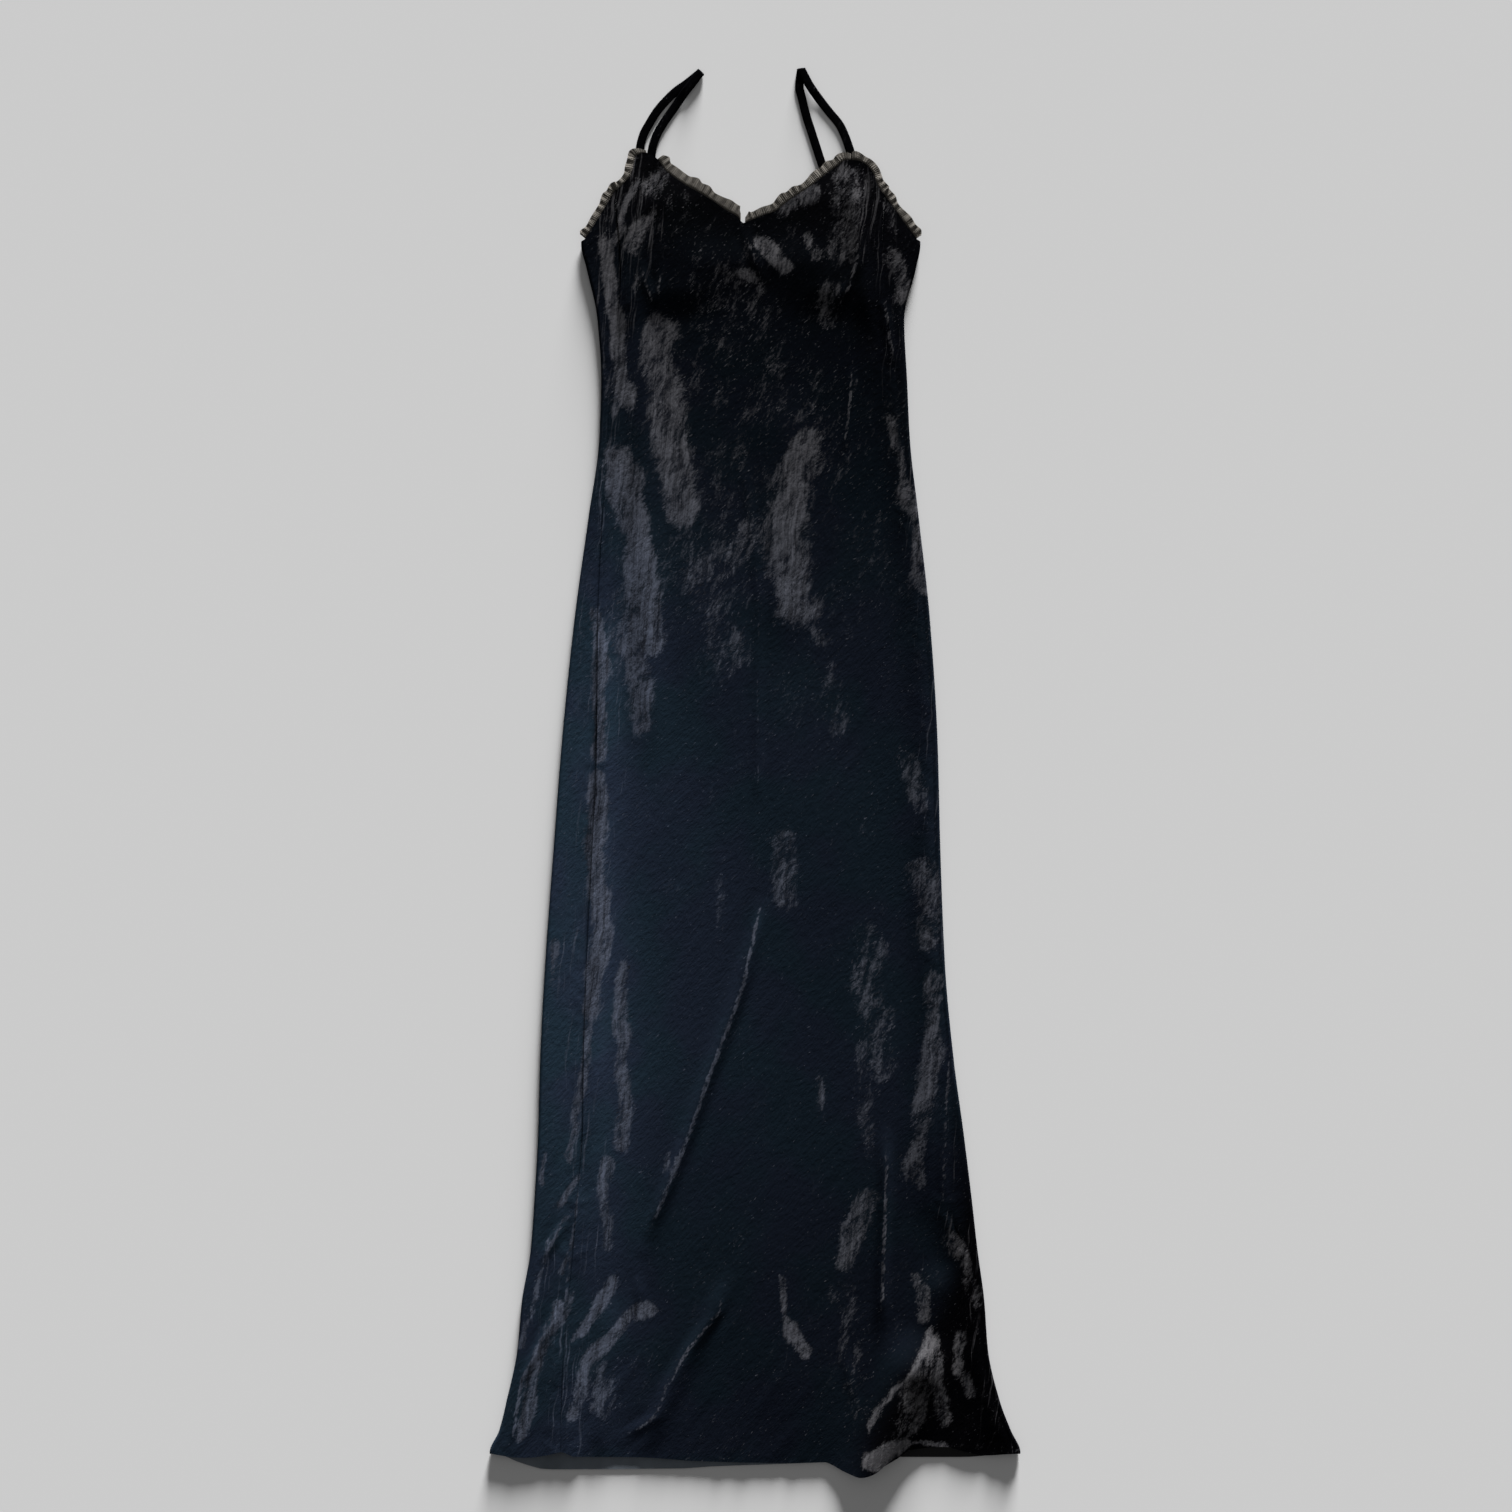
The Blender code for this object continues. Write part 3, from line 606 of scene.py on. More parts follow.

# %% [markdown]
# ## The velvet's reverse
#
# The ground cloth shows inside the back's hem, below the front. It is a smooth grey knit with no
# pile, so it is a touch lighter and plain. Towards the right it darkens to near black, which is painted
# shade inside the hem. Its courses are 0.8 mm apart, too fine to show, so they are drawn 3.2 mm apart.

# %% Make the reverse
def reverse_material():
    """The smooth knitted ground of the velvet, with painted shade darkening it to the right."""
    material, tree, shader = new_material("velvet reverse knit")
    place = add_node(tree, "ShaderNodeTexCoord").outputs["Object"]
    courses = add_node(tree, "ShaderNodeTexWave", Vector=place, Scale=98.0, Distortion=0.6).outputs["Fac"]
    soft = add_node(tree, "ShaderNodeTexNoise", Vector=place, Scale=30.0, Detail=2.0).outputs["Fac"]
    # The knit's own colour, lighter and darker at random.
    unshaded_knit = add_node(
        tree, "ShaderNodeMix", {"data_type": "RGBA"}, Factor=soft, _6=linear("#373D43"), _7=linear("#737B84")
    ).outputs[2]
    # Painted shade: the reverse darkens to near black towards the right, inside the hem.
    across = add_node(tree, "ShaderNodeSeparateXYZ", Vector=place).outputs[0]
    painted_shade_right = add_node(tree, "ShaderNodeMapRange", Value=across, From_Min=0.06, From_Max=0.14).outputs[0]
    colour = add_node(
        tree, "ShaderNodeMix", {"data_type": "RGBA"}, Factor=painted_shade_right, _6=unshaded_knit, _7=linear("#0C0C0D")
    ).outputs[2]
    tree.links.new(colour, shader.inputs["Base Color"])
    bump = add_node(tree, "ShaderNodeBump", Strength=0.15, Distance=0.0002, Height=courses).outputs[0]
    tree.links.new(bump, shader.inputs["Normal"])
    shader.inputs["Roughness"].default_value = 0.7
    shader.inputs["Specular IOR Level"].default_value = 0.25
    return material


reverse = reverse_material()
print("made", reverse.name)

# %% [markdown]
# ## The front panel
#
# One piece from hem to neckline. Its columns run up the cloth: each starts on the hem's curve and ends
# on the neckline's, and lies between the two side seams all the way. The seams pull the cloth down
# into a shallow ditch, and its stitches pucker it unevenly, about every 18 mm.

# %% Work out the front's height
DITCH = 0.4
DITCH_REACH = 4.0
PUCKER_STEP = 18.0
LOWEST_FRONT = 2 * PACKED_VELVET + 0.15


def side_height(y):
    """The top of the rolled sides, which drop towards the armholes' tops."""
    return 2 * ROLL_RADIUS - EAR_DROP * ease((y - UNDERARM) / (SEAM_TOP - UNDERARM))


def seam_ditch(away, y):
    """How far a seam pulls the cloth down, and the puckers along it."""
    rise = 0.25 + 0.35 * ease((330 - y) / 120)
    slanted = wave_noise(away, y, 40, PUCKER_STEP / 2, math.radians(35), 61.0)
    return rise * slanted * np.exp(-((away - 8) / 8) ** 2) - DITCH * np.exp(-((away / DITCH_REACH) ** 2))


def packed_front_height(x, y):
    """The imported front's upper face."""
    rise = side_height(y) - FRONT_REST
    near_left = np.exp(-(((x - left_seam(y)) / 20) ** 2))
    near_right = np.exp(-(((right_seam(y) - x) / 20) ** 2))
    slack = 0.5 + 0.5 * np.sin(x / 31 + np.sin(y / 120)) * np.sin(y / 83 + x / 140)
    folds = sum(fold_height(x, y, fold) for fold in FRONT_FOLDS.values())
    return FRONT_REST + rise * np.maximum(near_left, near_right) + slack + folds


def front_height(x, y):
    """The dressed front's upper face, never below what keeps it clear of the back."""
    creases, highlight_mark = crease_field(x, y)
    ditch = seam_ditch(x - left_seam(y), y) + seam_ditch(right_seam(y) - x, y)
    height = packed_front_height(x, y) + creases + drag_lines(x, y) + ditch
    return np.maximum(height, LOWEST_FRONT), highlight_mark


print("lowest front:", LOWEST_FRONT, "mm")

# %% [markdown]
# Standing pile isn't evenly black. A faint blue sheen is painted on it, where pile that leans to the
# light would shine: most at the left and in the middle, and not at all at the hem's right corner.

# %% Work out the painted blue sheen
painted_sheen_up = smooth_curve((
    (0, 0.5), (150, 0.58), (450, 0.98), (700, 1), (900, 0.7), (1050, 0.35), (1250, 0.1), (1330, 0),
))
painted_sheen_across = smooth_curve(((-260, 1), (-180, 1), (-90, 0.58), (0, 0.42), (140, 0.32), (200, 0.28)))
corner_from = smooth_curve(((0, 108), (130, 178), (200, 205), (420, 215)))
CORNER_UP = 420


def strain_field(x, y):
    """Where the cloth is pulled into fine lines, and pale sheen is painted along them: by both side seams and
    under the straps.
    """
    from_left = x - left_seam(y) - 8
    by_left = np.exp(-((from_left / np.where(from_left < 0, 60, 26)) ** 2))
    by_right = np.exp(-(((right_seam(y) - x) / 22) ** 2))
    by_left_strap = np.exp(-(((x + 122) / 28) ** 2) - ((y - 1290) / 60) ** 2)
    by_right_strap = np.exp(-(((x - 104) / 22) ** 2) - ((y - 1300) / 55) ** 2)
    return np.clip(np.maximum(by_left, 0.8 * by_right) * 0.8 + (by_left_strap + by_right_strap), 0, 1)


def velvet_values(x, y, highlight_mark):
    """What the velvet's material reads at each point."""
    return {
        "crushed": crush_and_sheen_field(x, y), "crease": highlight_mark, "painted_sheen": painted_sheen_field(x, y),
        "strain": strain_field(x, y),
    }


def painted_sheen_field(x, y):
    """Where a blue sheen is painted on the standing pile: the left and the middle, not the lower right."""
    corner = ease((x - corner_from(y) + 25) / 50) * ease((CORNER_UP - y) / 80)
    return painted_sheen_up(y) * painted_sheen_across(x) * (1 - corner)


print("haze at mid left:", round(float(painted_sheen_field(np.array(-80.0), np.array(500.0))), 2))

# %% Build the front panel
FRONT_COLUMNS, FRONT_ROWS = 108, 400


def front_rule(across, up):
    """The front's points, from fractions across and up."""
    top = neckline(NECKLINE[0][0] + across * (NECKLINE[-1][0] - NECKLINE[0][0]))
    hem = front_hem(FRONT_HEM[0][0] + across * (FRONT_HEM[-1][0] - FRONT_HEM[0][0]))
    y = hem + up * (top - hem)
    start, end = left_seam(y) + SEWN_GAP / 2, right_seam(y) - SEWN_GAP / 2
    x = start + across * (end - start)
    z, highlight_mark = front_height(x, y)
    return in_metres(x, y, z), velvet_values(x, y, highlight_mark)


front_cloth = cloth_sheet(
    "front_cloth", np.linspace(0, 1, FRONT_COLUMNS + 1), np.linspace(0, 1, FRONT_ROWS + 1), front_rule,
    VELVET, [velvet, reverse], (0.48, 1.38),
)
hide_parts("front_panel")
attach(front_cloth, "root")

# %% [markdown]
# ## The back panel
#
# The back starts at the left side seam, runs over the top to the left fold, rolls round it, lies flat on
# the floor as far as the right fold, rolls again, and ends at the right side seam. So one grid, whose
# columns go all the way round, makes it in one piece, as it was cut.

# %% Work out the back's way round
LEFT_SEAM, LEFT_TOP, LEFT_FLOOR, RIGHT_FLOOR, RIGHT_TOP, RIGHT_SEAM = range(6)
WAY_ROUND = ((LEFT_SEAM, 20), (LEFT_TOP, 10), (LEFT_FLOOR, 44), (RIGHT_FLOOR, 10), (RIGHT_TOP, 8))
stretches = [stretch + np.arange(count) / count for stretch, count in WAY_ROUND]
back_stations = np.concatenate(stretches + [[RIGHT_SEAM]])[::-1]


def back_top(station):
    """The back's top edge: up the ear to each side seam, and low across the back."""
    seam_tops = NECKLINE[0][1], NECKLINE[-1][1]
    floor = np.clip(station - LEFT_FLOOR, 0, 1)
    across = BACK_NECK[0][0] + floor * (BACK_NECK[-1][0] - BACK_NECK[0][0])
    return np.select(
        [station < LEFT_TOP, station < LEFT_FLOOR, station <= RIGHT_FLOOR, station <= RIGHT_TOP],
        [
            seam_tops[0] + (UNDERARM + 4 - seam_tops[0]) * station,
            UNDERARM + 4 * (LEFT_FLOOR - station),
            back_neck(across),
            UNDERARM + 4 * (station - RIGHT_FLOOR),
        ],
        seam_tops[1] + (UNDERARM + 4 - seam_tops[1]) * (RIGHT_SEAM - station),
    )


def back_bottom(station):
    """The back's hem."""
    seam_hems = FRONT_HEM[0][1], FRONT_HEM[-1][1]
    floor = np.clip(station - LEFT_FLOOR, 0, 1)
    across = BACK_HEM[0][0] + floor * (BACK_HEM[-1][0] - BACK_HEM[0][0])
    on_left = seam_hems[0] - 2 * station - 5 * np.sin(math.pi * station)
    return np.select(
        [station < LEFT_TOP, station < LEFT_FLOOR, station <= RIGHT_FLOOR, station <= RIGHT_TOP],
        [on_left, BACK_HEM[0][1], back_hem(across), BACK_HEM[0][1]],
        seam_hems[1],
    )


print(len(back_stations), "columns round the back")

# %% Build the back panel
BACK_ROWS = 400
WRAP_RELIEF = 0.8


def wrap_relief(x, y, away_from_seam, from_fold):
    """The waves on the back's wraps, which fade out at the fold, where the cloth is round."""
    creases, highlight_mark = crease_field(x, y)
    fade = ease(from_fold / 12)
    height = (creases + WRAP_RELIEF * drag_lines(x, y, 20.0)) * fade + seam_ditch(away_from_seam, y)
    return np.maximum(height, -1.6), highlight_mark


def back_rule(station, up):
    """The back's points, from its station on the way round and a fraction up."""
    bottom = back_bottom(station)
    y = bottom + up * (back_top(station) - bottom)
    top = side_height(y)
    left_centre, right_centre = left_edge(y) + ROLL_RADIUS, right_edge(y) - ROLL_RADIUS
    left_start, right_start = left_seam(y) - SEWN_GAP / 2, right_seam(y) + SEWN_GAP / 2
    on_left, on_right = station <= LEFT_TOP, station >= RIGHT_TOP
    on_floor = (station >= LEFT_FLOOR) & (station <= RIGHT_FLOOR)
    turn = math.pi * np.where(station < LEFT_FLOOR, station - LEFT_TOP, RIGHT_TOP - station)
    turn = np.clip(turn, 0, math.pi)
    out = ROLL_RADIUS * np.sin(turn)
    x = np.select(
        [on_left, on_right, on_floor, station < LEFT_FLOOR],
        [
            left_start + (left_centre - left_start) * station,
            right_start + (right_centre - right_start) * (RIGHT_SEAM - station),
            left_centre + (right_centre - left_centre) * (station - LEFT_FLOOR),
            left_centre - out,
        ],
        right_centre + out,
    )
    z = np.where(on_left | on_right, top, np.where(on_floor, 0.0, top / 2 * (1 + np.cos(turn))))
    away = np.where(on_left, left_start - x, x - right_start)
    from_fold = np.where(on_left, x - left_centre, right_centre - x)
    relief, highlight_mark = wrap_relief(x, y, away, from_fold)
    z = z + np.where(on_left | on_right, relief, 0)
    highlight_mark = np.where(on_left | on_right, highlight_mark, 0)
    return in_metres(x, y, z), velvet_values(x, y, highlight_mark)


back_cloth = cloth_sheet(
    "back_cloth", back_stations, np.linspace(0, 1, BACK_ROWS + 1), back_rule,
    VELVET, [velvet, reverse], (0.62, 1.34),
)
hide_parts("back_panel")
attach(back_cloth, "root")

# %% [markdown]
# ## The straps
#
# Each strap is a strip of the velvet, sewn into a flat tube and turned. It leaves the cup's peak, runs
# to a sharp fold at its tip and comes back underneath to the back's top edge. The route's points are
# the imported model's.

# %% Give the straps' routes
STRAP_WIDTH = 9.0
STRAP_THICKNESS = 1.8
STRAP_OVERLAP = 42.0
STRAPS = {
    "strap_left": {
        "front_leg": (
            (-111, 1343), (-109.5, 1360), (-108, 1370), (-104, 1382), (-97, 1394.5), (-88, 1407.5),
            (-75, 1426), (-65.5, 1438), (-58, 1448),
        ),
        "back_leg": (
            (-73, 1436), (-83, 1429), (-93, 1419.5), (-103, 1408), (-111.5, 1394.5), (-118, 1382),
            (-121, 1369), (-122, 1340), (-119, 1310), (-116, 1262),
        ),
    },
    "strap_right": {
        "front_leg": (
            (103, 1343), (101, 1359), (97, 1373), (89, 1392), (78, 1406), (67, 1420), (57, 1434), (48, 1451),
        ),
        "back_leg": (
            (46, 1434), (49, 1420), (53.5, 1402), (58, 1388), (62.5, 1374), (67, 1360), (72, 1345),
            (80, 1310), (89, 1262),
        ),
    },
}


def smooth_line(points, count):
    """An array of points at even distances along a smooth curve."""
    points = np.array(points, float)
    distance = np.concatenate([[0], np.cumsum(np.hypot(*np.diff(points, axis=0).T))])
    stations = np.linspace(0, distance[-1], count + 1)
    curves = [smooth_curve(list(zip(distance, column))) for column in points.T]
    return np.stack([curve(stations) for curve in curves], axis=-1)


print("strap strips:", list(STRAPS))

# %% Work out a strap's middle line
STRAP_STEPS = 120
FOLD_STEPS = 12


def strap_route(front_leg, back_leg):
    """A strap's middle line in X, Y and Z, and its width direction at each point of it."""
    low, high = STRAP_THICKNESS / 2, STRAP_THICKNESS * 1.5 + SEAM_GAP
    up_leg = smooth_line(front_leg, STRAP_STEPS)
    down_leg = smooth_line((front_leg[-1], *back_leg), STRAP_STEPS)
    tip = up_leg[-1]
    to_tip = np.hypot(*(up_leg - tip).T)
    up_z = low + (high - low) * ease(2 - to_tip / STRAP_OVERLAP * 2)
    runs = [np.gradient(leg, axis=0) for leg in (up_leg, down_leg)]
    sides = [np.stack([-run[:, 1], run[:, 0]], axis=-1) / np.hypot(*run.T)[:, None] for run in runs]
    sides[1] = -sides[1]
    fold_side = sides[0][-1] + sides[1][0]
    fold_side /= np.hypot(*fold_side)
    outward = np.array([fold_side[1], -fold_side[0]])
    turn = np.linspace(0, math.pi, FOLD_STEPS + 1)
    radius = (high - low) / 2
    fold = tip + outward * radius * np.sin(turn)[:, None]
    fold_z = low + radius + radius * np.cos(turn)
    place = np.concatenate([up_leg[:-1], fold, down_leg[1:]])
    z = np.concatenate([up_z[:-1], fold_z, np.full(STRAP_STEPS, low)])
    side = np.concatenate([sides[0][:-1], np.tile(fold_side, (FOLD_STEPS + 1, 1)), sides[1][1:]])
    return np.column_stack([place, z]), np.column_stack([side, np.zeros(len(side))])


print("a strap has", 2 * STRAP_STEPS + FOLD_STEPS, "steps")

# %% Build the straps
ROUND_STEPS = 20


def strap_tube(name, front_leg, back_leg):
    """A flat tube of velvet: a grid whose rows go round the strap, joined where they meet."""
    route, side = strap_route(front_leg, back_leg)
    run = np.gradient(route, axis=0)
    run /= np.linalg.norm(run, axis=1)[:, None]
    face = np.cross(run, side)
    distance = np.concatenate([[0], np.cumsum(np.linalg.norm(np.diff(route, axis=0), axis=1))])

    def rule(across, up):
        k = np.rint(across * (len(route) - 1)).astype(int)
        angle = 2 * math.pi * up
        wide = np.sign(np.cos(angle)) * np.abs(np.cos(angle)) ** 0.45 * STRAP_WIDTH / 2
        puff = 0.9 + 0.1 * np.sin(distance[k] / 5.5 + 2 * np.sin(distance[k] / 13))
        deep = np.sin(angle) * STRAP_THICKNESS / 2 * puff
        points = route[k] + side[k] * wide[:, None] + face[k] * deep[:, None]
        x, y, z = points.T
        # Grey sheen painted where the strap's pile lies flat, on one face of it.
        crushed = 0.2 * np.sin(distance[k] / 9 + 3 * np.sin(distance[k] / 21)) * np.sin(angle)
        zero = np.zeros(len(x))
        values = {"crushed": crushed, "crease": zero, "painted_sheen": zero, "strain": zero}
        return in_metres(x, y, np.maximum(z, 0.0)), values

    piece = cloth_sheet(
        name, np.linspace(0, 1, len(route)), np.linspace(0, 1, ROUND_STEPS + 1), rule, 0.1, [velvet],
        (distance[-1] / 1000, 2 * STRAP_WIDTH / 1000),
    )
    piece.modifiers.clear()
    close_tube(piece.data)
    return piece, distance[-1]


def close_tube(mesh):
    """Joins the first and last rows of a tube and closes its two ends, with the faces outward."""
    bm = bmesh.new()
    bm.from_mesh(mesh)
    bmesh.ops.remove_doubles(bm, verts=bm.verts[:], dist=1e-6)
    bmesh.ops.holes_fill(bm, edges=[edge for edge in bm.edges if edge.is_boundary], sides=0)
    bmesh.ops.recalc_face_normals(bm, faces=bm.faces[:])
    bm.to_mesh(mesh)
    bm.free()


for node_name, legs in STRAPS.items():
    strap, length = strap_tube(f"{node_name}_velvet", legs["front_leg"], legs["back_leg"])
    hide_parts(node_name)
    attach(strap, "root")
    print(node_name, round(length), "mm long")

# %% [markdown]
# ## The net trim
#
# A 10 mm strip of fine net, cut at about one and a half times the edge's length and gathered on to it.
# Close to the stitching its gathers are tight ribs, and they open into waves at the free side. The
# packed strip has the large waves. The dressed one adds the ribs between them, 1.8 mm apart. The net's
# holes are half a millimetre across, too fine to show, so their relief is drawn 1.1 mm wide.

# %% Make the net
def net_material():
    """Fine gathered net: grey-brown yarn, with a highlight painted on the tops of its ribs."""
    material, tree, shader = new_material("gathered nylon net")
    along = add_node(tree, "ShaderNodeUVMap", {"uv_map": "UVMap"}).outputs[0]
    place = add_node(tree, "ShaderNodeTexCoord").outputs["Object"]
    rib = add_node(tree, "ShaderNodeAttribute", {"attribute_name": "rib"}).outputs["Fac"]
    fleck = add_node(tree, "ShaderNodeTexNoise", Vector=place, Scale=420.0, Detail=2.0).outputs["Fac"]
    mesh_turned = add_node(
        tree, "ShaderNodeMapping", Vector=along, Rotation=(0, 0, math.radians(45)), Scale=(1, 1, 1)
    ).outputs[0]
    holes = add_node(
        tree, "ShaderNodeTexVoronoi", {"feature": "DISTANCE_TO_EDGE"}, Vector=mesh_turned, Scale=900.0,
        Randomness=0.2,
    ).outputs["Distance"]
    yarn = add_node(
        tree, "ShaderNodeMapRange", Value=holes, From_Min=0.05, From_Max=0.3, To_Min=1.0, To_Max=0.0
    ).outputs[0]
    # The rib value is a highlight painted on the ribs' tops.
    tone = add_node(tree, "ShaderNodeMath", {"operation": "MULTIPLY_ADD"}, _0=fleck, _1=0.5, _2=rib).outputs[0]
    colour = add_node(
        tree, "ShaderNodeMix", {"data_type": "RGBA"}, Factor=tone, _6=linear("#312E2A"), _7=linear("#605B54")
    ).outputs[2]
    tree.links.new(colour, shader.inputs["Base Color"])
    height = add_node(tree, "ShaderNodeMath", {"operation": "ADD"}, _0=yarn, _1=fleck).outputs[0]
    bump = add_node(tree, "ShaderNodeBump", Strength=0.6, Distance=0.0003, Height=height).outputs[0]
    tree.links.new(bump, shader.inputs["Normal"])
    shader.inputs["Roughness"].default_value = 0.75
    shader.inputs["Specular IOR Level"].default_value = 0.2
    shader.inputs["Sheen Weight"].default_value = 0.1
    return material


net = net_material()
print("made", net.name)

# %% Give the trim's edges
RUFFLE_WAVE = 8.0
RUFFLE_LIFT = 3.0
RUFFLE_MITRE = 14.0
HIDDEN_WAVE = 10.0
HIDDEN_LIFT = 1.0
RIB = 1.8
RIB_DEPTH = 0.25
TUCK = 1.6
TUCK_DEPTH = 1.0
SPAN = NECKLINE[0][0], NECKLINE[-1][0]


def front_rim(start, end):
    """The front's top edge between two places across, as an array of points at half its thickness."""
    across = np.linspace(start, end, max(2, round(abs(end - start) / 1.5)))
    y = neckline(across)
    fraction = (across - SPAN[0]) / (SPAN[1] - SPAN[0])
    left, right = left_seam(y) + SEAM_GAP / 2, right_seam(y) - SEAM_GAP / 2
    x = left + fraction * (right - left)
    return np.column_stack([x, y, packed_front_height(x, y) - PACKED_VELVET / 2])


def back_rim(start, end):
    """The back's top edge between two stations of its way round."""
    stations = np.linspace(start, end, 60)
    points, _ = back_rule(stations, np.ones(60))
    x, y, z = (points * 1000).T
    on_floor = (stations > LEFT_FLOOR) & (stations < RIGHT_FLOOR)
    outer = np.where(on_floor, PACKED_VELVET / 2, -PACKED_VELVET / 2)
    return np.column_stack([x + ACROSS_TO_CENTRE, y + HEM_TO_CENTRE, z + outer])


def even_steps(edge, step):
    """The same line with its points at even distances of about one step."""
    distance = np.concatenate([[0], np.cumsum(np.linalg.norm(np.diff(edge, axis=0), axis=1))])
    stations = np.linspace(0, distance[-1], max(2, round(distance[-1] / step)) + 1)
    return np.stack([np.interp(stations, distance, edge[:, axis]) for axis in range(3)], axis=-1), stations


print("ribs every", RIB, "mm")

# %% Build the net trim
RUFFLE_ROWS = 14
SMOOTHING = 15


def ruffle(name, edge, width, ends, ways=(None, None), wave=RUFFLE_WAVE, lift=0.4 * RUFFLE_LIFT):
    """A gathered net strip that stands out from the left of an edge."""
    line, s = even_steps(edge, RIB / 6)
    total = s[-1]
    run = np.gradient(line[:, :2], axis=0)
    window = np.ones(SMOOTHING) / SMOOTHING
    padded = [np.pad(run[:, k], SMOOTHING // 2, mode="edge") for k in (0, 1)]
    run = np.stack([np.convolve(column, window, mode="valid") for column in padded], axis=-1)
    outward = np.stack([-run[:, 1], run[:, 0]], axis=-1)
    outward /= np.hypot(*outward.T)[:, None]
    for way, from_end in zip(ways, (s, total - s)):
        if way:
            share = (1 - ease(from_end / RUFFLE_MITRE))[:, None]
            outward = outward * (1 - share) + np.array(way) * share
            outward /= np.hypot(*outward.T)[:, None]
    taper = np.minimum(1, np.minimum(ends[0] + s / wave / 2, ends[1] + (total - s) / wave / 2))
    scallop = 1 + 0.1 * np.sin(s * 0.31 + 1.3 * np.sin(s * 0.113)) + 0.12 * np.sin(s * 0.12 + 2)
    swell = 0.7 + 0.3 * np.sin(s * 0.21)
    gather = 0.5 + 0.5 * np.sin(2 * math.pi * s / wave + 1.8 * np.sin(s * 0.11)) * swell
    rib = 0.5 + 0.5 * np.sin(2 * math.pi * s / RIB + 1.1 * np.sin(s * 0.7) + 2.3 * np.sin(s * 0.171))

    def rule(across, up):
        k = np.rint(across * (len(line) - 1)).astype(int)
        reach = (width * taper[k] * scallop[k] + TUCK) * up - TUCK
        sway = 0.5 * np.sin(2 * math.pi * s[k] / wave * 0.5 + 1.0) * up**2
        x = line[k, 0] + outward[k, 0] * reach + outward[k, 1] * sway
        y = line[k, 1] + outward[k, 1] * reach - outward[k, 0] * sway
        ribs = RIB_DEPTH * (rib[k] - 0.5) * np.sin(math.pi * np.clip(up * 0.85 + 0.12, 0, 1)) ** 0.5
        under = TUCK_DEPTH * (1 - ease(up * (width + TUCK) / (2.5 * TUCK)))
        z = line[k, 2] + lift * gather[k] * up * taper[k] + ribs + NET / 2 - under
        # A highlight painted on the ribs' tops, stronger towards the free side.
        rib_top_highlight = rib[k] * (0.35 + 0.5 * up) * 0.8
        return in_metres(x, y, np.maximum(z, NET + 0.05)), {"rib": rib_top_highlight}

    piece = cloth_sheet(
        name, np.linspace(0, 1, len(line)), np.linspace(0, 1, RUFFLE_ROWS + 1), rule, NET, [net],
        (total / 1000, width / 1000),
    )
    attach(piece, "root")
    return piece


left_arm = np.concatenate([back_rim(LEFT_SEAM, LEFT_TOP - 0.03)[::-1], front_rim(-146.5, -115)])
right_arm = np.concatenate([front_rim(101, 134.5), back_rim(RIGHT_TOP + 0.03, RIGHT_SEAM)[::-1]])
UP = (0.0, 1.0)
neck_left = ruffle("net_neck_left", front_rim(-103, -16.5), 10.5, (0.6, 0.7), ways=(None, UP), lift=0.7)
neck_right = ruffle("net_neck_right", front_rim(-12, 100), 9.0, (0.6, 0.9), ways=(UP, None), lift=0.7)
arm_left = ruffle("net_arm_left", left_arm, 7.5, (0.8, 0.3))
arm_right = ruffle("net_arm_right", right_arm, 8.0, (0.9, 0.8))
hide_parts("ruffle_neck_left")
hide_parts("ruffle_neck_right")
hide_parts("ruffle_arm_left")
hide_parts("ruffle_arm_right")


def back_station(across):
    """The back's station that lies on the floor at a place across its top edge."""
    start, end = BACK_NECK[0][0] + ROLL_RADIUS, BACK_NECK[-1][0] - ROLL_RADIUS
    return LEFT_FLOOR + (across - start) / (end - start)


strap_ends = [legs["back_leg"][-1][0] for legs in STRAPS.values()]
clear = STRAP_WIDTH / 2 + 1.5
gaps = [LEFT_FLOOR + 0.02]
gaps += [back_station(end + side) for end in strap_ends for side in (-clear, clear)]
gaps.append(RIGHT_FLOOR - 0.02)
for part, start, end in zip(("left", "centre", "right"), gaps[::2], gaps[1::2]):
    rim = back_rim(start, end)
    hidden = ruffle(f"net_back_{part}", rim, 10.0, (0.35, 0.35), wave=HIDDEN_WAVE, lift=HIDDEN_LIFT)
    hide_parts(f"ruffle_back_{part}")

# %% [markdown]
# ## Floor, light and camera
#
# The photograph is a studio shot from straight above, on an even pale grey. An even sky lights the
# floor, and a soft low sun from above the neckline throws the soft shadow below the hem and to the left.

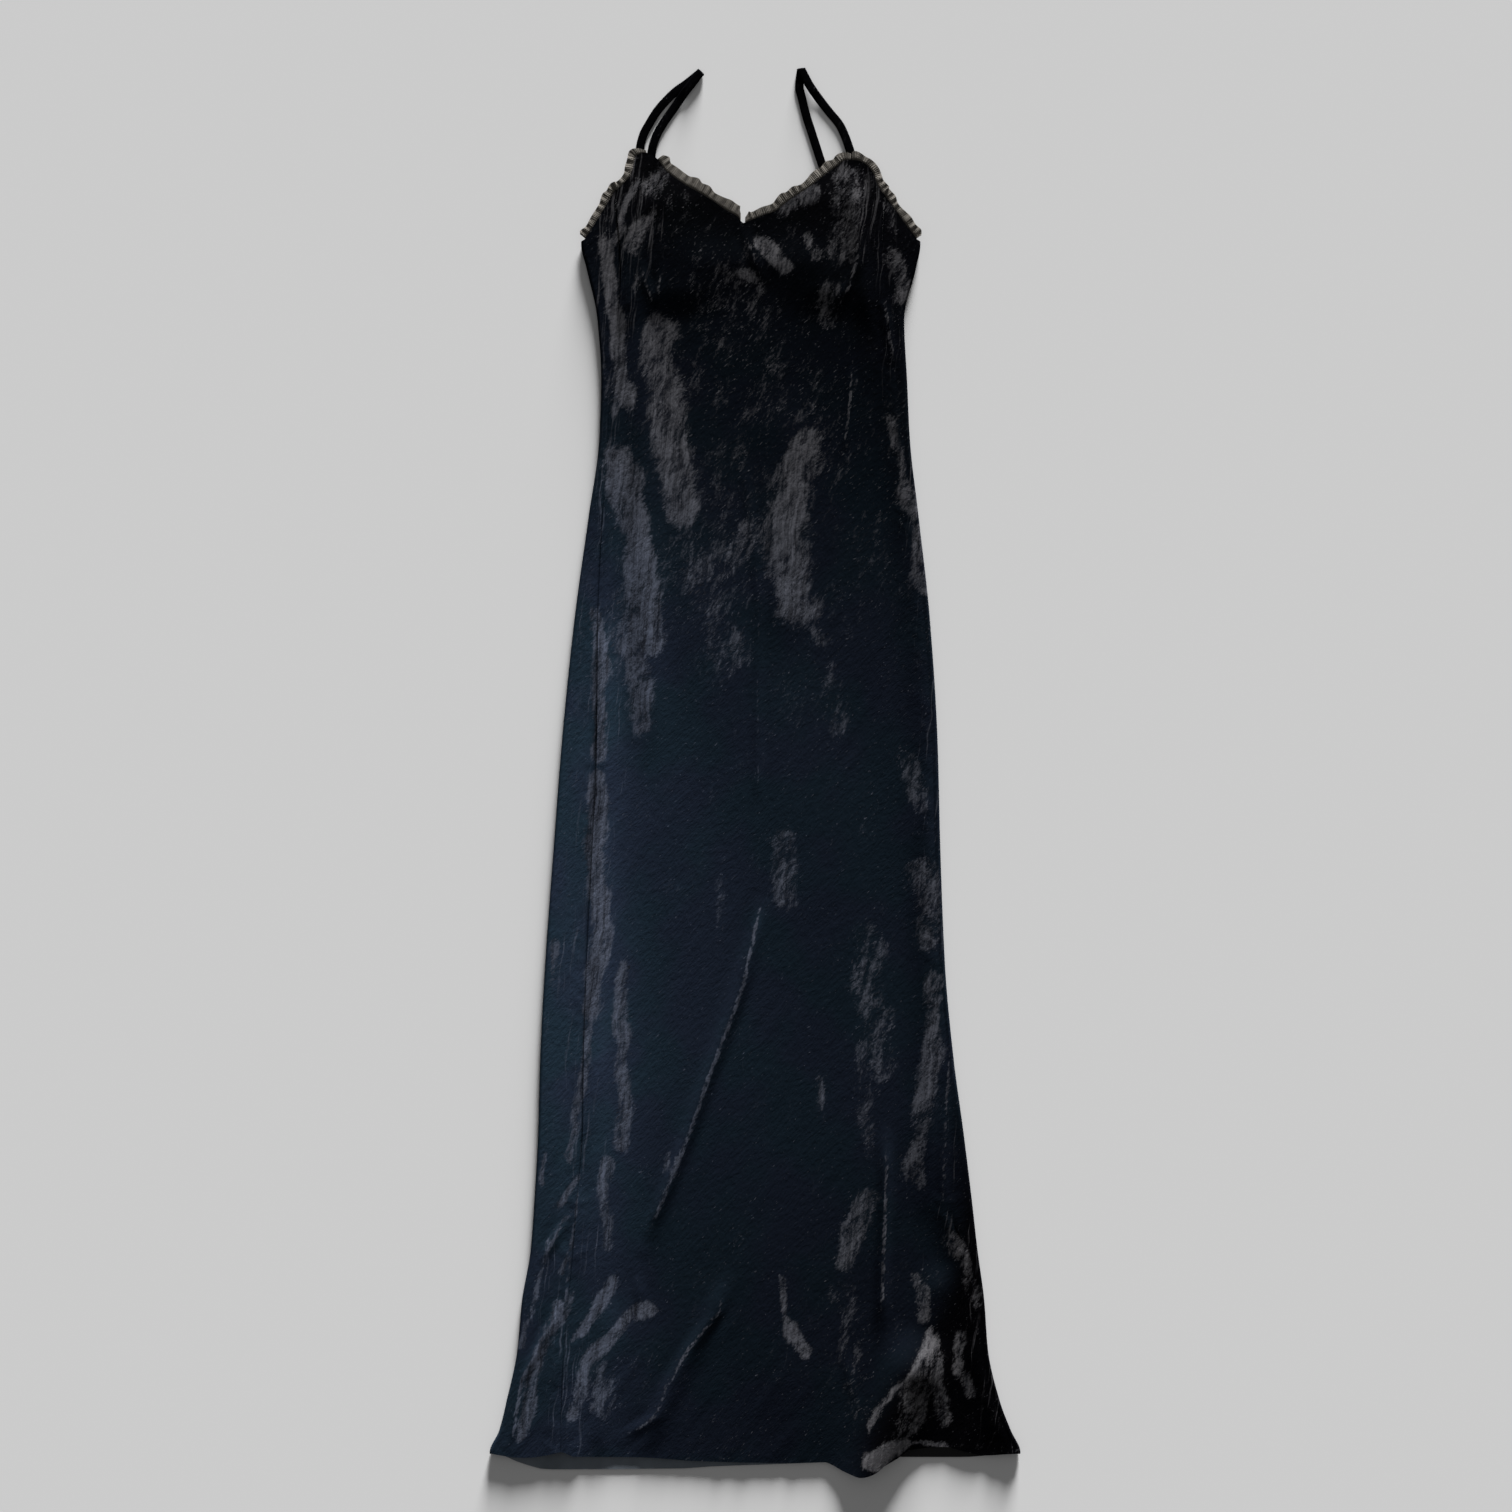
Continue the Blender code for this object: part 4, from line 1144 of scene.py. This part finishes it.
# %% Lay the floor
FLOOR_GREY = "#CBCBCB"
floor_mesh = bpy.data.meshes.new("studio_floor")
bm = bmesh.new()
bmesh.ops.create_grid(bm, x_segments=1, y_segments=1, size=40.0)
bm.to_mesh(floor_mesh)
bm.free()
floor = bpy.data.objects.new("studio_floor", floor_mesh)
bpy.context.scene.collection.objects.link(floor)
floor_material, _, floor_shader = new_material("matt studio paper")
floor_shader.inputs["Base Color"].default_value = linear(FLOOR_GREY)
floor_shader.inputs["Roughness"].default_value = 1.0
floor_shader.inputs["Specular IOR Level"].default_value = 0.0
floor_mesh.materials.append(floor_material)
for vertex in floor_mesh.vertices:
    vertex.co.z = -0.0002
print("floor laid")

# %% Light it
SUN_SHARE = 0.8
SUN_HEIGHT = math.radians(6)
SUN_TURN = math.radians(9)

world = bpy.data.worlds.new("even_studio_light")
bpy.context.scene.world = world
world.use_nodes = True
sky = world.node_tree.nodes["Background"]
sky.inputs["Color"].default_value = (1, 1, 1, 1)
sky.inputs["Strength"].default_value = 1 - SUN_SHARE

sun_data = bpy.data.lights.new("soft_key", "SUN")
sun_data.energy = SUN_SHARE * math.pi / math.sin(SUN_HEIGHT)
sun_data.angle = math.radians(15)
sun = bpy.data.objects.new("soft_key", sun_data)
level = math.cos(SUN_HEIGHT)
from_sun = Vector((math.sin(SUN_TURN) * level, math.cos(SUN_TURN) * level, math.sin(SUN_HEIGHT)))
sun.rotation_euler = from_sun.to_track_quat("Z", "Y").to_euler()
bpy.context.scene.collection.objects.link(sun)
print("sun strength", round(sun_data.energy, 2))

# %% [markdown]
# The camera hangs straight above the dress with a long lens, so that both ends are seen alike.

# %% Set the camera
VIEW_WIDTH = 1.5876
LENS = 100.0
SENSOR = 36.0
camera_data = bpy.data.cameras.new("overhead_camera")
camera_data.lens = LENS
camera_data.sensor_width = SENSOR
camera = bpy.data.objects.new("overhead_camera", camera_data)
camera.location = (0.001, 0.01615, VIEW_WIDTH * LENS / SENSOR)
bpy.context.scene.collection.objects.link(camera)
bpy.context.scene.camera = camera
bpy.context.scene.view_settings.view_transform = "Standard"
print("camera", round(camera.location.z, 2), "m above the floor")
